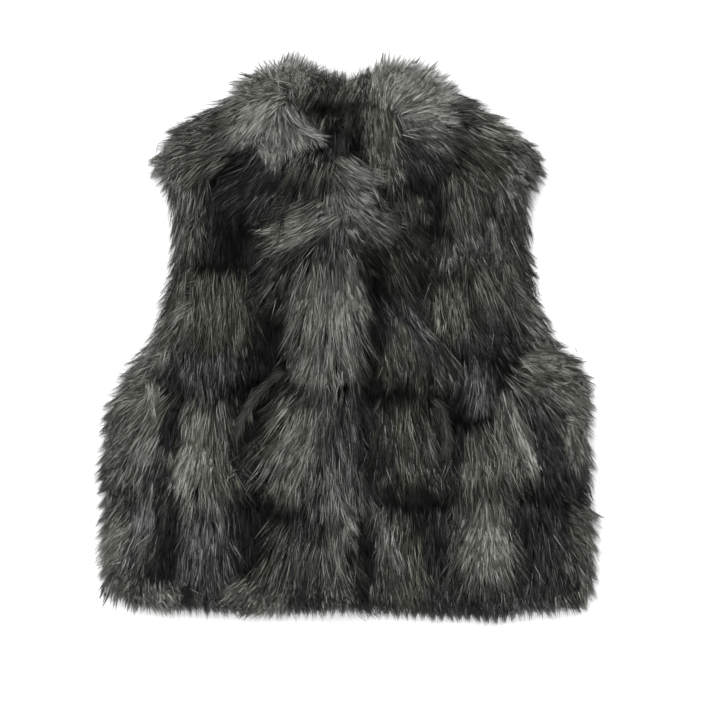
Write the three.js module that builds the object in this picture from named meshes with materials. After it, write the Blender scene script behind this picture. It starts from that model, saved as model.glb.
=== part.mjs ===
// A short faux fur vest, laid flat on its back with the wearer's right front lapped over the left.
//
// The back panel rests on the surface, the two fronts lie on it, and a fur collar frames the neck.
// Each panel is one wall that reaches as far as its pile does. The pile falls in blocks, one below
// another like shingles, and each block is a swelling in the panel's outer points.
//
// Tables are in millimetres on a flat pattern sheet: "across" runs to the right from the sheet's
// left edge and "down" runs from its top edge, the collar's side. The part's own frame has +X
// across, +Y towards the collar and +Z up from the surface.
import * as THREE from "three";

// Driving sizes of the layers, up from the surface
const SEAM_GAP = 0.3;
const BACK_TOP = 14;
const BACK_SIDE = 5;
const FRONT_UNDER = BACK_TOP + SEAM_GAP;
const LAP_TOP = 28;
const LAP_UNDER = LAP_TOP + SEAM_GAP;
const FRONT_VALLEY = 27;
const LAP_VALLEY = 37;
const PILE_LOFT = 1.35;
const COLLAR_SEAT = 36;
const COLLAR_UNDER = COLLAR_SEAT + SEAM_GAP;
const POCKET_SEAT = 31;
const POCKET_UNDER = POCKET_SEAT + SEAM_GAP;

// Driving sizes of the edges and of the lap
const EDGE_HEIGHT = 7;
const EDGE_ROUND = 27;
const BACK_ROUND = 13;
const LAP_WIDTH = 30;
const LAP_FLAT = 36;
const LAP_SLOPE = 14;
const SEAT_MARGIN = 18;
const SEAT_BANK = 1.3;
const POCKET_HALF_WIDTH = 5;
const POCKET_RISE = 10;

// Spacing of the points that carry the swellings
const ROW_STEP = 11;
const COLUMN_COUNT = 24;
const EDGE_OFFSETS = [0, 4, 12, 24];
const LAP_EDGE_OFFSETS = [0, 4, 13, 26, LAP_FLAT, LAP_FLAT + LAP_SLOPE];
const FULL_WIDTH = 150;

// The side of the vest on the sheet's left, from the neck point over the shoulder to the hem
const LEFT_SIDE = [
  { down: 70, across: 266 }, { down: 84, across: 238 }, { down: 98, across: 226 },
  { down: 112, across: 204 }, { down: 122, across: 184 }, { down: 132, across: 168 },
  { down: 146, across: 162 }, { down: 160, across: 152 }, { down: 170, across: 150 },
  { down: 182, across: 158 }, { down: 205, across: 171 }, { down: 235, across: 174 },
  { down: 265, across: 173 }, { down: 285, across: 167 }, { down: 303, across: 159 },
  { down: 326, across: 158 }, { down: 342, across: 149 }, { down: 356, across: 141 },
  { down: 370, across: 122 }, { down: 386, across: 117 }, { down: 402, across: 110 },
  { down: 420, across: 101 }, { down: 447, across: 102 }, { down: 472, across: 97 },
  { down: 492, across: 101 }, { down: 540, across: 98 }, { down: 575, across: 99 },
  { down: 592, across: 108 }, { down: 603, across: 118 }, { down: 613, across: 136 },
];

// The side on the sheet's right, as the back panel has it
const RIGHT_SIDE = [
  { down: 70, across: 420 }, { down: 84, across: 444 }, { down: 98, across: 470 },
  { down: 112, across: 490 }, { down: 126, across: 510 }, { down: 140, across: 528 },
  { down: 152, across: 540 }, { down: 166, across: 545 }, { down: 180, across: 541 },
  { down: 203, across: 530 }, { down: 235, across: 529 }, { down: 260, across: 527 },
  { down: 276, across: 537 }, { down: 310, across: 541 }, { down: 326, across: 549 },
  { down: 342, across: 558 }, { down: 356, across: 574 }, { down: 370, across: 586 },
  { down: 390, across: 588 }, { down: 415, across: 594 }, { down: 445, across: 589 },
  { down: 462, across: 594 }, { down: 482, across: 590 }, { down: 515, across: 594 },
  { down: 535, across: 599 }, { down: 556, across: 594 }, { down: 590, across: 596 },
  { down: 604, across: 590 }, { down: 613, across: 574 },
];

// The left front's armhole lies a little inside the back's and lets it show
const RIGHT_ARMHOLE_INSET = [
  { down: 70, inset: 0 }, { down: 190, inset: 0 }, { down: 215, inset: 9 },
  { down: 250, inset: 11 }, { down: 280, inset: 19 }, { down: 315, inset: 20 },
  { down: 340, inset: 8 }, { down: 358, inset: 2 }, { down: 372, inset: 0 },
  { down: 613, inset: 0 },
];

// Neck edge and lapping edge of the wearer's right front
const LAPPING_EDGE = [
  { down: 70, across: 284 }, { down: 84, across: 294 }, { down: 98, across: 301 },
  { down: 112, across: 306 }, { down: 126, across: 314 }, { down: 140, across: 327 },
  { down: 152, across: 341 }, { down: 162, across: 353 }, { down: 173, across: 368 },
  { down: 185, across: 378 }, { down: 204, across: 387 }, { down: 225, across: 387 },
  { down: 245, across: 379 }, { down: 268, across: 374 }, { down: 300, across: 373 },
  { down: 332, across: 368 }, { down: 380, across: 362 }, { down: 450, across: 362 },
  { down: 525, across: 366 }, { down: 562, across: 362 }, { down: 613, across: 360 },
];

// Neck edge of the wearer's left front, down to where the lap covers it
const UNDERLAP_NECK = [
  { down: 70, across: 388 }, { down: 84, across: 380 }, { down: 98, across: 371 },
  { down: 112, across: 365 }, { down: 126, across: 363 }, { down: 140, across: 362 },
  { down: 152, across: 359 }, { down: 162, across: 355 },
];
const UNDERLAP_STARTS = 173;

// How far the hem hangs below its straight line
const HEM_DROP = [
  { across: 130, drop: -3 }, { across: 200, drop: 0 }, { across: 262, drop: 3 },
  { across: 310, drop: 2 }, { across: 360, drop: 0 }, { across: 430, drop: 4 },
  { across: 465, drop: 1 }, { across: 495, drop: 7 }, { across: 525, drop: 2 },
  { across: 570, drop: 0 },
];
const HEM_LINE = 613;
const HEM_REACH = 60;

// The back neck's dip between the shoulders
const NECK_DIP = [
  { across: 266, drop: 0 }, { across: 300, drop: 7 }, { across: 345, drop: 12 },
  { across: 390, drop: 6 }, { across: 420, drop: 0 },
];
const NECK_LINE = 70;
const NECK_REACH = 40;

// Fur blocks of the fronts: middle, size, lean of the fall towards the sheet's right, and swelling
const FUR_BLOCKS = [
  { across: 198, down: 148, wide: 86, long: 68, lean: -50, swell: 14 },
  { across: 196, down: 216, wide: 64, long: 94, lean: -6, swell: 14 },
  { across: 212, down: 302, wide: 94, long: 94, lean: -4, swell: 16 },
  { across: 166, down: 338, wide: 58, long: 70, lean: -38, swell: 12 },
  { across: 213, down: 364, wide: 98, long: 52, lean: 0, swell: 13 },
  { across: 134, down: 430, wide: 82, long: 134, lean: -18, swell: 15 },
  { across: 128, down: 552, wide: 78, long: 124, lean: -8, swell: 15 },
  { across: 207, down: 448, wide: 90, long: 132, lean: 0, swell: 19 },
  { across: 216, down: 556, wide: 94, long: 120, lean: 4, swell: 17 },
  { across: 170, down: 597, wide: 46, long: 46, lean: 30, swell: 10 },
  { across: 250, down: 597, wide: 78, long: 44, lean: -20, swell: 11 },
  { across: 262, down: 208, wide: 92, long: 62, lean: -30, swell: 9 },
  { across: 296, down: 254, wide: 90, long: 112, lean: -28, swell: 14 },
  { across: 354, down: 232, wide: 62, long: 84, lean: 28, swell: 15 },
  { across: 328, down: 328, wide: 94, long: 124, lean: 0, swell: 21 },
  { across: 312, down: 444, wide: 106, long: 126, lean: -8, swell: 19 },
  { across: 312, down: 560, wide: 102, long: 120, lean: -2, swell: 17 },
  { across: 484, down: 128, wide: 72, long: 52, lean: 60, swell: 12 },
  { across: 512, down: 184, wide: 60, long: 78, lean: 35, swell: 16 },
  { across: 462, down: 198, wide: 54, long: 78, lean: 20, swell: 13 },
  { across: 474, down: 248, wide: 86, long: 70, lean: 6, swell: 14 },
  { across: 450, down: 304, wide: 48, long: 76, lean: 4, swell: 15 },
  { across: 495, down: 278, wide: 52, long: 84, lean: 25, swell: 12 },
  { across: 496, down: 332, wide: 68, long: 72, lean: 12, swell: 13 },
  { across: 473, down: 380, wide: 46, long: 72, lean: 2, swell: 17 },
  { across: 400, down: 262, wide: 58, long: 104, lean: 22, swell: 12 },
  { across: 410, down: 326, wide: 64, long: 74, lean: 22, swell: 15 },
  { across: 422, down: 366, wide: 68, long: 62, lean: 14, swell: 15 },
  { across: 404, down: 446, wide: 84, long: 112, lean: 8, swell: 17 },
  { across: 398, down: 548, wide: 62, long: 116, lean: 0, swell: 17 },
  { across: 485, down: 462, wide: 74, long: 104, lean: 14, swell: 17 },
  { across: 484, down: 545, wide: 82, long: 100, lean: 4, swell: 20 },
  { across: 545, down: 420, wide: 98, long: 150, lean: 16, swell: 17 },
  { across: 560, down: 550, wide: 86, long: 132, lean: 10, swell: 15 },
  { across: 440, down: 594, wide: 58, long: 46, lean: 0, swell: 10 },
  { across: 512, down: 598, wide: 74, long: 42, lean: 5, swell: 9 },
];

// Cross-sections of the collar from the lapping end round the back neck to the other end:
// its falling edge, its neck edge, the height of its crest and of its underside
const COLLAR_SECTIONS = [
  { fall: [352, 187], neck: [362, 174], crest: 48, under: COLLAR_UNDER },
  { fall: [330, 182], neck: [350, 162], crest: 54, under: COLLAR_UNDER },
  { fall: [305, 178], neck: [336, 149], crest: 60, under: COLLAR_UNDER },
  { fall: [278, 180], neck: [322, 138], crest: 63, under: COLLAR_UNDER },
  { fall: [255, 165], neck: [314, 129], crest: 65, under: COLLAR_UNDER },
  { fall: [238, 147], neck: [310, 122], crest: 66, under: COLLAR_UNDER },
  { fall: [229, 122], neck: [308, 115], crest: 66, under: COLLAR_UNDER },
  { fall: [232, 97], neck: [307, 109], crest: 66, under: COLLAR_UNDER },
  { fall: [249, 78], neck: [308, 105], crest: 65, under: COLLAR_UNDER },
  { fall: [273, 68], neck: [309, 102], crest: 63, under: COLLAR_UNDER },
  { fall: [298, 59], neck: [312, 100], crest: 58, under: COLLAR_UNDER },
  { fall: [317, 66], neck: [320, 99], crest: 46, under: FRONT_UNDER },
  { fall: [334, 74], neck: [332, 100], crest: 42, under: FRONT_UNDER },
  { fall: [350, 76], neck: [344, 101], crest: 42, under: FRONT_UNDER },
  { fall: [365, 71], neck: [353, 101], crest: 46, under: FRONT_UNDER },
  { fall: [382, 65], neck: [360, 102], crest: 56, under: COLLAR_UNDER },
  { fall: [400, 61], neck: [362, 106], crest: 63, under: COLLAR_UNDER },
  { fall: [421, 67], neck: [362, 112], crest: 65, under: COLLAR_UNDER },
  { fall: [441, 81], neck: [362, 119], crest: 66, under: COLLAR_UNDER },
  { fall: [454, 101], neck: [362, 126], crest: 66, under: COLLAR_UNDER },
  { fall: [457, 123], neck: [362, 133], crest: 65, under: COLLAR_UNDER },
  { fall: [449, 145], neck: [363, 140], crest: 64, under: COLLAR_UNDER },
  { fall: [436, 163], neck: [364, 148], crest: 61, under: COLLAR_UNDER },
  { fall: [418, 177], neck: [366, 157], crest: 57, under: COLLAR_UNDER },
  { fall: [401, 188], neck: [369, 166], crest: 52, under: COLLAR_UNDER },
  { fall: [386, 193], neck: [373, 176], crest: 47, under: COLLAR_UNDER },
];

// The collar's roll: share of the way from falling edge to neck edge, and share of its height
const COLLAR_ROLL = [
  { along: 0, height: 0.16 }, { along: 0.07, height: 0.45 }, { along: 0.2, height: 0.72 },
  { along: 0.4, height: 0.9 }, { along: 0.62, height: 1 }, { along: 0.82, height: 0.9 },
  { along: 0.94, height: 0.6 }, { along: 1, height: 0.3 },
];

// The lips of the two slanted pocket mouths, each along its middle line
const POCKET_LIPS = {
  pocket_edge_right: [[290, 366], [277, 376], [264, 388], [252, 401], [244, 415], [240, 432]],
  pocket_edge_left: [[428, 394], [437, 403], [443, 416], [446, 431], [447, 447]],
};

// The lip's cross-section: place across it from -1 to 1, and share of its height
const LIP_SECTION = [
  { along: -1, height: 0.25 }, { along: -0.6, height: 0.8 }, { along: 0, height: 1 },
  { along: 0.6, height: 0.8 }, { along: 1, height: 0.25 },
];

const FURS = {
  back: { color: 0x4b4c4a, roughness: 0.95 },
  front: { color: 0x6b6d68, roughness: 0.95 },
  collar: { color: 0x85877f, roughness: 0.95 },
  pocket: { color: 0x75776f, roughness: 0.95 },
};

const { clamp, lerp, smoothstep, degToRad } = THREE.MathUtils;

// Value of one column of a table at a place along another, with a smooth line through its rows
function read(table, key, column, place) {
  const last = table.length - 1;
  if (place <= table[0][key]) return table[0][column];
  if (place >= table[last][key]) return table[last][column];
  let i = 0;
  while (table[i + 1][key] < place) i += 1;
  const slope = (k) => {
    const a = table[Math.max(k - 1, 0)];
    const b = table[Math.min(k + 1, last)];
    return (b[column] - a[column]) / (b[key] - a[key]);
  };
  const span = table[i + 1][key] - table[i][key];
  const t = (place - table[i][key]) / span;
  const bend = t * t * (3 - 2 * t);
  const rise = lerp(table[i][column], table[i + 1][column], bend);
  const start = slope(i) * t * (1 - t) * (1 - t);
  const end = slope(i + 1) * t * t * (1 - t);
  return rise + span * (start - end);
}

// Edges of the panels at one height of the sheet
const leftSide = (down) => read(LEFT_SIDE, "down", "across", down);
const rightSide = (down) => read(RIGHT_SIDE, "down", "across", down);
const lappingEdge = (down) => read(LAPPING_EDGE, "down", "across", down);

function underlapEdge(down) {
  const neck = read(UNDERLAP_NECK, "down", "across", down);
  const lap = lappingEdge(down) - LAP_WIDTH;
  return lerp(neck, lap, smoothstep(down, UNDERLAP_STARTS - 10, UNDERLAP_STARTS + 40));
}

function frontRightSide(down) {
  return rightSide(down) - read(RIGHT_ARMHOLE_INSET, "down", "inset", down);
}

// Rows lie close together near both ends of a panel, where its edge rounds over
function rowPlaces(first, last) {
  const edge = EDGE_OFFSETS[EDGE_OFFSETS.length - 1];
  const steps = Math.round((last - first - 2 * edge) / ROW_STEP);
  const places = EDGE_OFFSETS.map((offset) => first + offset);
  for (let i = 1; i < steps; i += 1) places.push(lerp(first + edge, last - edge, i / steps));
  return places.concat(EDGE_OFFSETS.map((offset) => last - offset).reverse());
}

// Columns across one row, with fixed distances from its two ends where the row is wide enough
function columnPlaces(left, right, leftOffsets, rightOffsets, count) {
  const scale = Math.min(1, (right - left) / FULL_WIDTH);
  const start = left + leftOffsets[leftOffsets.length - 1] * scale;
  const end = right - rightOffsets[rightOffsets.length - 1] * scale;
  const middle = count - leftOffsets.length - rightOffsets.length + 1;
  const places = leftOffsets.map((offset) => left + offset * scale);
  for (let i = 1; i < middle; i += 1) places.push(lerp(start, end, i / middle));
  return places.concat(rightOffsets.map((offset) => right - offset * scale).reverse());
}

// The hem and the back neck bend the nearest rows with them
function bend(across, down, dipsAtNeck) {
  const hem = read(HEM_DROP, "across", "drop", across);
  const neck = dipsAtNeck ? read(NECK_DIP, "across", "drop", across) : 0;
  const nearHem = smoothstep(down, HEM_LINE - HEM_REACH, HEM_LINE);
  const nearNeck = 1 - smoothstep(down, NECK_LINE, NECK_LINE + NECK_REACH);
  return down + hem * nearHem + neck * nearNeck;
}

// Distance on the sheet from a point to a chain of points
function distanceTo(chain, point) {
  let nearest = Infinity;
  for (let i = 0; i + 1 < chain.length; i += 1) {
    const a = chain[i];
    const b = chain[i + 1];
    const run = [b[0] - a[0], b[1] - a[1]];
    const away = [point[0] - a[0], point[1] - a[1]];
    const length = Math.max(run[0] ** 2 + run[1] ** 2, 1e-9);
    const t = clamp((away[0] * run[0] + away[1] * run[1]) / length, 0, 1);
    nearest = Math.min(nearest, Math.hypot(away[0] - t * run[0], away[1] - t * run[1]));
  }
  return nearest;
}

function isInside(ring, point) {
  let inside = false;
  for (let i = 0; i < ring.length; i += 1) {
    const a = ring[i];
    const b = ring[(i + 1) % ring.length];
    const crosses = a[1] > point[1] !== b[1] > point[1];
    if (!crosses) continue;
    const at = a[0] + ((point[1] - a[1]) / (b[1] - a[1])) * (b[0] - a[0]);
    if (point[0] < at) inside = !inside;
  }
  return inside;
}

// Height of the tallest fur block at a point, above the valleys between the blocks
function swelling(across, down) {
  let tallest = 0;
  for (const block of FUR_BLOCKS) {
    const lean = degToRad(block.lean);
    const x = across - block.across;
    const y = down - block.down;
    const sideways = (x * Math.cos(lean) - y * Math.sin(lean)) / (block.wide / 2);
    const along = (x * Math.sin(lean) + y * Math.cos(lean)) / (block.long / 2);
    if (Math.abs(sideways) >= 1 || Math.abs(along) >= 1) continue;
    const fall = Math.sin(Math.PI * ((along + 1) / 2) ** 1.3);
    const crown = 1 - Math.abs(sideways) ** 2.4;
    tallest = Math.max(tallest, PILE_LOFT * block.swell * crown * fall ** 0.7);
  }
  return tallest;
}

const COLLAR_RING = COLLAR_SECTIONS.map((row) => row.fall).concat(
  COLLAR_SECTIONS.map((row) => row.neck).reverse(),
);
const COLLAR_LINE = COLLAR_RING.concat([COLLAR_RING[0]]);

// The fronts stay low and flat under the collar and the pocket lips, and rise as a bank past them
function underNeighbours(height, point) {
  const bank = (away) => SEAT_BANK * Math.max(away - SEAT_MARGIN, 0);
  const fromCollar = isInside(COLLAR_RING, point) ? 0 : distanceTo(COLLAR_LINE, point);
  const ceilings = Object.values(POCKET_LIPS).map((line) => {
    return POCKET_SEAT + bank(distanceTo(line, point) - POCKET_HALF_WIDTH);
  });
  return Math.min(height, COLLAR_SEAT + bank(fromCollar), ...ceilings);
}

// A closed wall between an upper and a lower grid of points that share their rows
function wall(name, fur, upper, lower) {
  const points = [];
  const faces = [];
  const number = (grid) => grid.map((row) => row.map((point) => points.push(point) - 1));
  const above = number(upper);
  const below = number(lower);

  function cover(grid, flipped) {
    for (let r = 0; r + 1 < grid.length; r += 1) {
      for (let c = 0; c + 1 < grid[r].length; c += 1) {
        const quad = [grid[r][c], grid[r + 1][c], grid[r + 1][c + 1], grid[r][c + 1]];
        if (flipped) quad.reverse();
        faces.push([quad[0], quad[1], quad[2]], [quad[0], quad[2], quad[3]]);
      }
    }
  }

  // A band between two chains of points that run the same way, where either may have more
  function band(high, low) {
    let i = 0;
    let j = 0;
    while (i + 1 < high.length || j + 1 < low.length) {
      const nextHigh = i + 1 < high.length ? (i + 1) / (high.length - 1) : Infinity;
      const nextLow = j + 1 < low.length ? (j + 1) / (low.length - 1) : Infinity;
      if (nextHigh <= nextLow) {
        faces.push([high[i], low[j], high[i + 1]]);
        i += 1;
      } else {
        faces.push([high[i], low[j], low[j + 1]]);
        j += 1;
      }
    }
  }

  const leftChain = (grid) => grid.map((row) => row[0]);
  const rightChain = (grid) => grid.map((row) => row[row.length - 1]).reverse();
  cover(above, false);
  cover(below, true);
  band(leftChain(above), leftChain(below));
  band(above[above.length - 1], below[below.length - 1]);
  band(rightChain(above), rightChain(below));
  band([...above[0]].reverse(), [...below[0]].reverse());

  let volume = 0;
  for (const face of faces) {
    const [a, b, c] = face.map((k) => new THREE.Vector3(...points[k]));
    volume += a.dot(b.cross(c)) / 6;
  }
  if (volume < 0) faces.forEach((face) => face.reverse());

  const geometry = new THREE.BufferGeometry();
  geometry.setAttribute("position", new THREE.Float32BufferAttribute(points.flat(), 3));
  geometry.setIndex(faces.flat());
  geometry.computeVertexNormals();
  const material = new THREE.MeshStandardMaterial({ ...FURS[fur], metalness: 0 });
  material.name = fur;
  const mesh = new THREE.Mesh(geometry, material);
  mesh.name = name;
  return mesh;
}

// A point of the sheet at a height above the surface, in the part's own frame
const place = (across, down, height) => [across, -down, height];

// Plan of one panel: its rows of sheet points, and the line round it
function planOf(rows, left, right, leftOffsets, rightOffsets, count, dipsAtNeck = false) {
  const plan = rows.map((down) => {
    const places = columnPlaces(left(down), right(down), leftOffsets, rightOffsets, count);
    return places.map((across) => [across, bend(across, down, dipsAtNeck)]);
  });
  const last = plan.length - 1;
  const line = [...plan[0]];
  plan.forEach((row) => line.push(row[row.length - 1]));
  line.push(...[...plan[last]].reverse());
  [...plan].reverse().forEach((row) => line.push(row[0]));
  return { plan, line };
}

// Share of the full height at a distance inside a rounded edge
function rounding(distance, radius) {
  const t = clamp(distance / radius, 0, 1);
  return Math.sqrt(1 - (1 - t) ** 2);
}

// The back panel: flat where it rests and flat on top, with its pile rounding up to the sides
function backPanel() {
  const rows = rowPlaces(NECK_LINE, HEM_LINE);
  const offsets = [0, 5, BACK_ROUND];
  const { plan, line } = planOf(rows, leftSide, rightSide, offsets, offsets, 10, true);
  const upper = plan.map((row) => row.map(([x, y]) => place(x, y, BACK_TOP)));
  const lower = plan.map((row) => row.map(([x, y]) => {
    const share = rounding(distanceTo(line, [x, y]), BACK_ROUND - 1);
    return place(x, y, BACK_SIDE * (1 - share));
  }));
  return wall("back", "back", upper, lower);
}

// The lower grid of a front: a few columns are enough, because it is flat apart from the lap
function frontUnderside(plan, columns, heightAt) {
  return plan.map((row) => columns.map((c) => {
    const k = c < 0 ? row.length + c : c;
    return place(row[k][0], row[k][1], heightAt(k, row));
  }));
}

// Top of a front at one point of its plan
function frontTop([across, down], line, under, valley, ceiling) {
  const full = Math.min(valley + swelling(across, down), ceiling);
  const edge = under + EDGE_HEIGHT;
  const share = rounding(distanceTo(line, [across, down]), EDGE_ROUND);
  const height = edge + Math.max(full - edge, 0) * share;
  return underNeighbours(height, [across, down]);
}

// How far the right front is lifted at one height of the sheet: not at the neck, fully at the lap
const lapShare = (down) => smoothstep(down, 118, 158);

function frontRight() {
  const rows = rowPlaces(NECK_LINE, HEM_LINE);
  const { plan, line } = planOf(
    rows, leftSide, lappingEdge, EDGE_OFFSETS, LAP_EDGE_OFFSETS, COLUMN_COUNT,
  );
  const slopeEnd = -LAP_EDGE_OFFSETS.length;
  const under = (row, k) => {
    const raised = k >= row.length + slopeEnd + 1;
    const lift = LAP_UNDER - FRONT_UNDER;
    return FRONT_UNDER + (raised ? lift * lapShare(row[k][1]) : 0);
  };
  const upper = plan.map((row) => row.map(([x, y], k) => {
    const fromLap = row[row.length - 1][0] - x;
    const onLap = 1 - smoothstep(fromLap, LAP_FLAT, LAP_FLAT + 4 * LAP_SLOPE);
    const valley = lerp(FRONT_VALLEY, LAP_VALLEY, onLap * lapShare(y));
    return place(x, y, frontTop([x, y], line, under(row, k), valley, Infinity));
  }));
  const lower = frontUnderside(plan, [0, slopeEnd, slopeEnd + 1, -1], (k, row) => under(row, k));
  return wall("front_right", "front", upper, lower);
}

function frontLeft() {
  const rows = rowPlaces(NECK_LINE, HEM_LINE);
  const lapOffsets = LAP_EDGE_OFFSETS.slice(0, -1);
  const { plan, line } = planOf(
    rows, underlapEdge, frontRightSide, lapOffsets, EDGE_OFFSETS, COLUMN_COUNT,
  );
  const upper = plan.map((row) => row.map(([x, y], k) => {
    const lapped = k < lapOffsets.length && lapShare(y) > 0;
    const ceiling = lapped ? lerp(COLLAR_SEAT, LAP_TOP, lapShare(y)) : Infinity;
    return place(x, y, frontTop([x, y], line, FRONT_UNDER, FRONT_VALLEY, ceiling));
  }));
  const lower = frontUnderside(plan, [0, -1], () => FRONT_UNDER);
  return wall("front_left", "front", upper, lower);
}

function collar() {
  const upper = [];
  const lower = [];
  for (const row of COLLAR_SECTIONS) {
    const at = (along) => [
      lerp(row.fall[0], row.neck[0], along),
      lerp(row.fall[1], row.neck[1], along),
    ];
    upper.push(COLLAR_ROLL.map(({ along, height }) => {
      const [x, y] = at(along);
      return place(x, y, lerp(row.under, row.crest, height));
    }));
    lower.push([0, 0.5, 1].map((along) => place(...at(along), row.under)));
  }
  return wall("collar", "collar", upper, lower);
}

function pocketLip(name, line) {
  const curve = new THREE.CatmullRomCurve3(line.map(([x, y]) => new THREE.Vector3(x, -y, 0)));
  const steps = 14;
  const upper = [];
  const lower = [];
  for (let i = 0; i <= steps; i += 1) {
    const t = i / steps;
    const point = curve.getPointAt(t);
    const along = curve.getTangentAt(t);
    const side = new THREE.Vector3(-along.y, along.x, 0).multiplyScalar(POCKET_HALF_WIDTH);
    const taper = 0.35 + 0.65 * Math.sin(Math.PI * t) ** 0.5;
    const at = (share, height) => {
      const p = point.clone().addScaledVector(side, share * taper);
      return [p.x, p.y, height];
    };
    upper.push(LIP_SECTION.map((row) => {
      return at(row.along, POCKET_UNDER + POCKET_RISE * row.height * taper);
    }));
    lower.push([-1, 1].map((share) => at(share, POCKET_UNDER)));
  }
  return wall(name, "pocket", upper, lower);
}

const vest = new THREE.Group();
vest.add(backPanel(), frontRight(), frontLeft(), collar());
for (const [name, line] of Object.entries(POCKET_LIPS)) vest.add(pocketLip(name, line));

// The origin is under the middle of the vest, on the surface
const reach = new THREE.Box3().setFromObject(vest);
const middle = reach.getCenter(new THREE.Vector3());
for (const piece of vest.children) piece.geometry.translate(-middle.x, -middle.y, -reach.min.z);

export default vest;
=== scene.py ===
# %% [markdown]
# # A faux fur vest, laid flat
#
# This lesson dresses a plain solid model of a short fur vest with a real pile. The vest lies on a
# pale floor and is seen from straight above. Its panels (a back, two fronts that lap, a collar and
# two pocket edges) come from the solid model, which the first cell loads. Everything after that
# adds what a rigid solid can't show: the knitted backing and some 160,000 hairs.

# %% Load the solids and keep their box
import math

import bpy
import numpy as np
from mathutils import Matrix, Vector
from mathutils.bvhtree import BVHTree


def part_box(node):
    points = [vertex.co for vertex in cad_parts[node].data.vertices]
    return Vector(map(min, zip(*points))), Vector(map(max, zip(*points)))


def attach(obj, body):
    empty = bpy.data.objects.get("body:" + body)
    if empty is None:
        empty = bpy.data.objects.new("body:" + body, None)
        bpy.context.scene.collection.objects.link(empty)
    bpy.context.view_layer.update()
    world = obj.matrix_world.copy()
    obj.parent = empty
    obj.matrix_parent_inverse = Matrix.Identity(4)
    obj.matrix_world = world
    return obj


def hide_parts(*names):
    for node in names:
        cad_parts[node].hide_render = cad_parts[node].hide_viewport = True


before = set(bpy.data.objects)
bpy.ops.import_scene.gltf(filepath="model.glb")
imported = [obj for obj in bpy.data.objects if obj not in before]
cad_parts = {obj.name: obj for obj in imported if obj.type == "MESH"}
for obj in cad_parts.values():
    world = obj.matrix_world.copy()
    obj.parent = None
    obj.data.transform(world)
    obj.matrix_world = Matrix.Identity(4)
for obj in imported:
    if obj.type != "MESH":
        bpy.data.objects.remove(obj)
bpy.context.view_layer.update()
bpy.ops.object.select_all(action="DESELECT")
print("solids:", ", ".join(sorted(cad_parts)))

# %% [markdown]
# Tables below are written on a flat pattern sheet, in millimetres: "across" runs to the right and
# "down" runs from the collar's side to the hem, as a cutter would chart the vest. One helper turns
# a place on the sheet into the model's metres.

# %% Pattern sheet
SHEET_MIDDLE_ACROSS = 348.24
SHEET_MIDDLE_DOWN = 339.32
MM = 0.001


def on_sheet(across, down):
    """A place on the pattern sheet, in the model's metres."""
    x = (np.asarray(across, float) - SHEET_MIDDLE_ACROSS) * MM
    y = (SHEET_MIDDLE_DOWN - np.asarray(down, float)) * MM
    return x, y


# %% [markdown]
# The camera hangs straight above the vest, like the one over a table top in a studio. A long lens
# from five metres keeps the sides from leaning. The picture spans 720 mm of the pattern sheet.

# %% Camera
PICTURE_SPAN = 0.720
CAMERA_HEIGHT = 5.0
MEAN_FUR_HEIGHT = 0.02
SENSOR = 36.0

picture_x, picture_y = on_sheet(360, 360)
camera_data = bpy.data.cameras.new("overhead")
camera_data.sensor_width = SENSOR
camera_data.lens = SENSOR * (CAMERA_HEIGHT - MEAN_FUR_HEIGHT) / PICTURE_SPAN
camera = bpy.data.objects.new("overhead", camera_data)
camera.location = (float(picture_x), float(picture_y), CAMERA_HEIGHT)
bpy.context.scene.collection.objects.link(camera)
bpy.context.scene.camera = camera
print("lens", round(camera_data.lens, 1), "mm")

# %% [markdown]
# Dark fur swallows light, so the room is bright and even: a pale sky all round, and one broad lamp
# from the collar's side that gives the locks their soft shading. The floor is plain and pale.

# %% Light and floor
SKY_STRENGTH = 1.45
LAMP_STRENGTH = 1.7
LAMP_SPREAD = math.radians(45)
LAMP_TURN = (math.radians(-32), math.radians(-18), 0)
FLOOR_SIZE = 40.0
FLOOR_SHADE = (0.96, 0.96, 0.96, 1)

scene = bpy.context.scene
scene.view_settings.view_transform = "Standard"
world = bpy.data.worlds.new("studio")
world.use_nodes = True
sky = world.node_tree.nodes["Background"]
sky.inputs["Color"].default_value = (1, 1, 1, 1)
sky.inputs["Strength"].default_value = SKY_STRENGTH
scene.world = world

lamp_data = bpy.data.lights.new("window", "SUN")
lamp_data.energy = LAMP_STRENGTH
lamp_data.angle = LAMP_SPREAD
lamp = bpy.data.objects.new("window", lamp_data)
lamp.rotation_euler = LAMP_TURN
scene.collection.objects.link(lamp)

bpy.ops.mesh.primitive_plane_add(size=FLOOR_SIZE, location=(0, 0, 0))
floor = bpy.context.object
floor.name = "floor"
floor_material = bpy.data.materials.new("floor_paper")
floor_material.use_nodes = True
paper = floor_material.node_tree.nodes["Principled BSDF"]
paper.inputs["Base Color"].default_value = FLOOR_SHADE
paper.inputs["Roughness"].default_value = 0.9
paper.inputs["Specular IOR Level"].default_value = 0.0
floor.data.materials.append(floor_material)
bpy.ops.object.select_all(action="DESELECT")

# %% [markdown]
# Hairs have to follow the panels, so the cell below feels the solids from above on a fine grid,
# as a pantograph would. It keeps two things: the height of the fur's reach at every place, and
# how much of the vest lies round a place, whose slope tells which way is outwards.

# %% Height and cover of the vest
GRID_STEP = 0.002
GRID_X = np.arange(-0.30, 0.3001, GRID_STEP)
GRID_Y = np.arange(-0.33, 0.3301, GRID_STEP)
PROBE_HEIGHT = 0.2
FLOOR_REST = 0.003
REACH_BLUR = 0.003
NEAR_BLUR = 0.004
EDGE_BLUR = 0.008
WIDE_BLUR = 0.016


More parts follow.
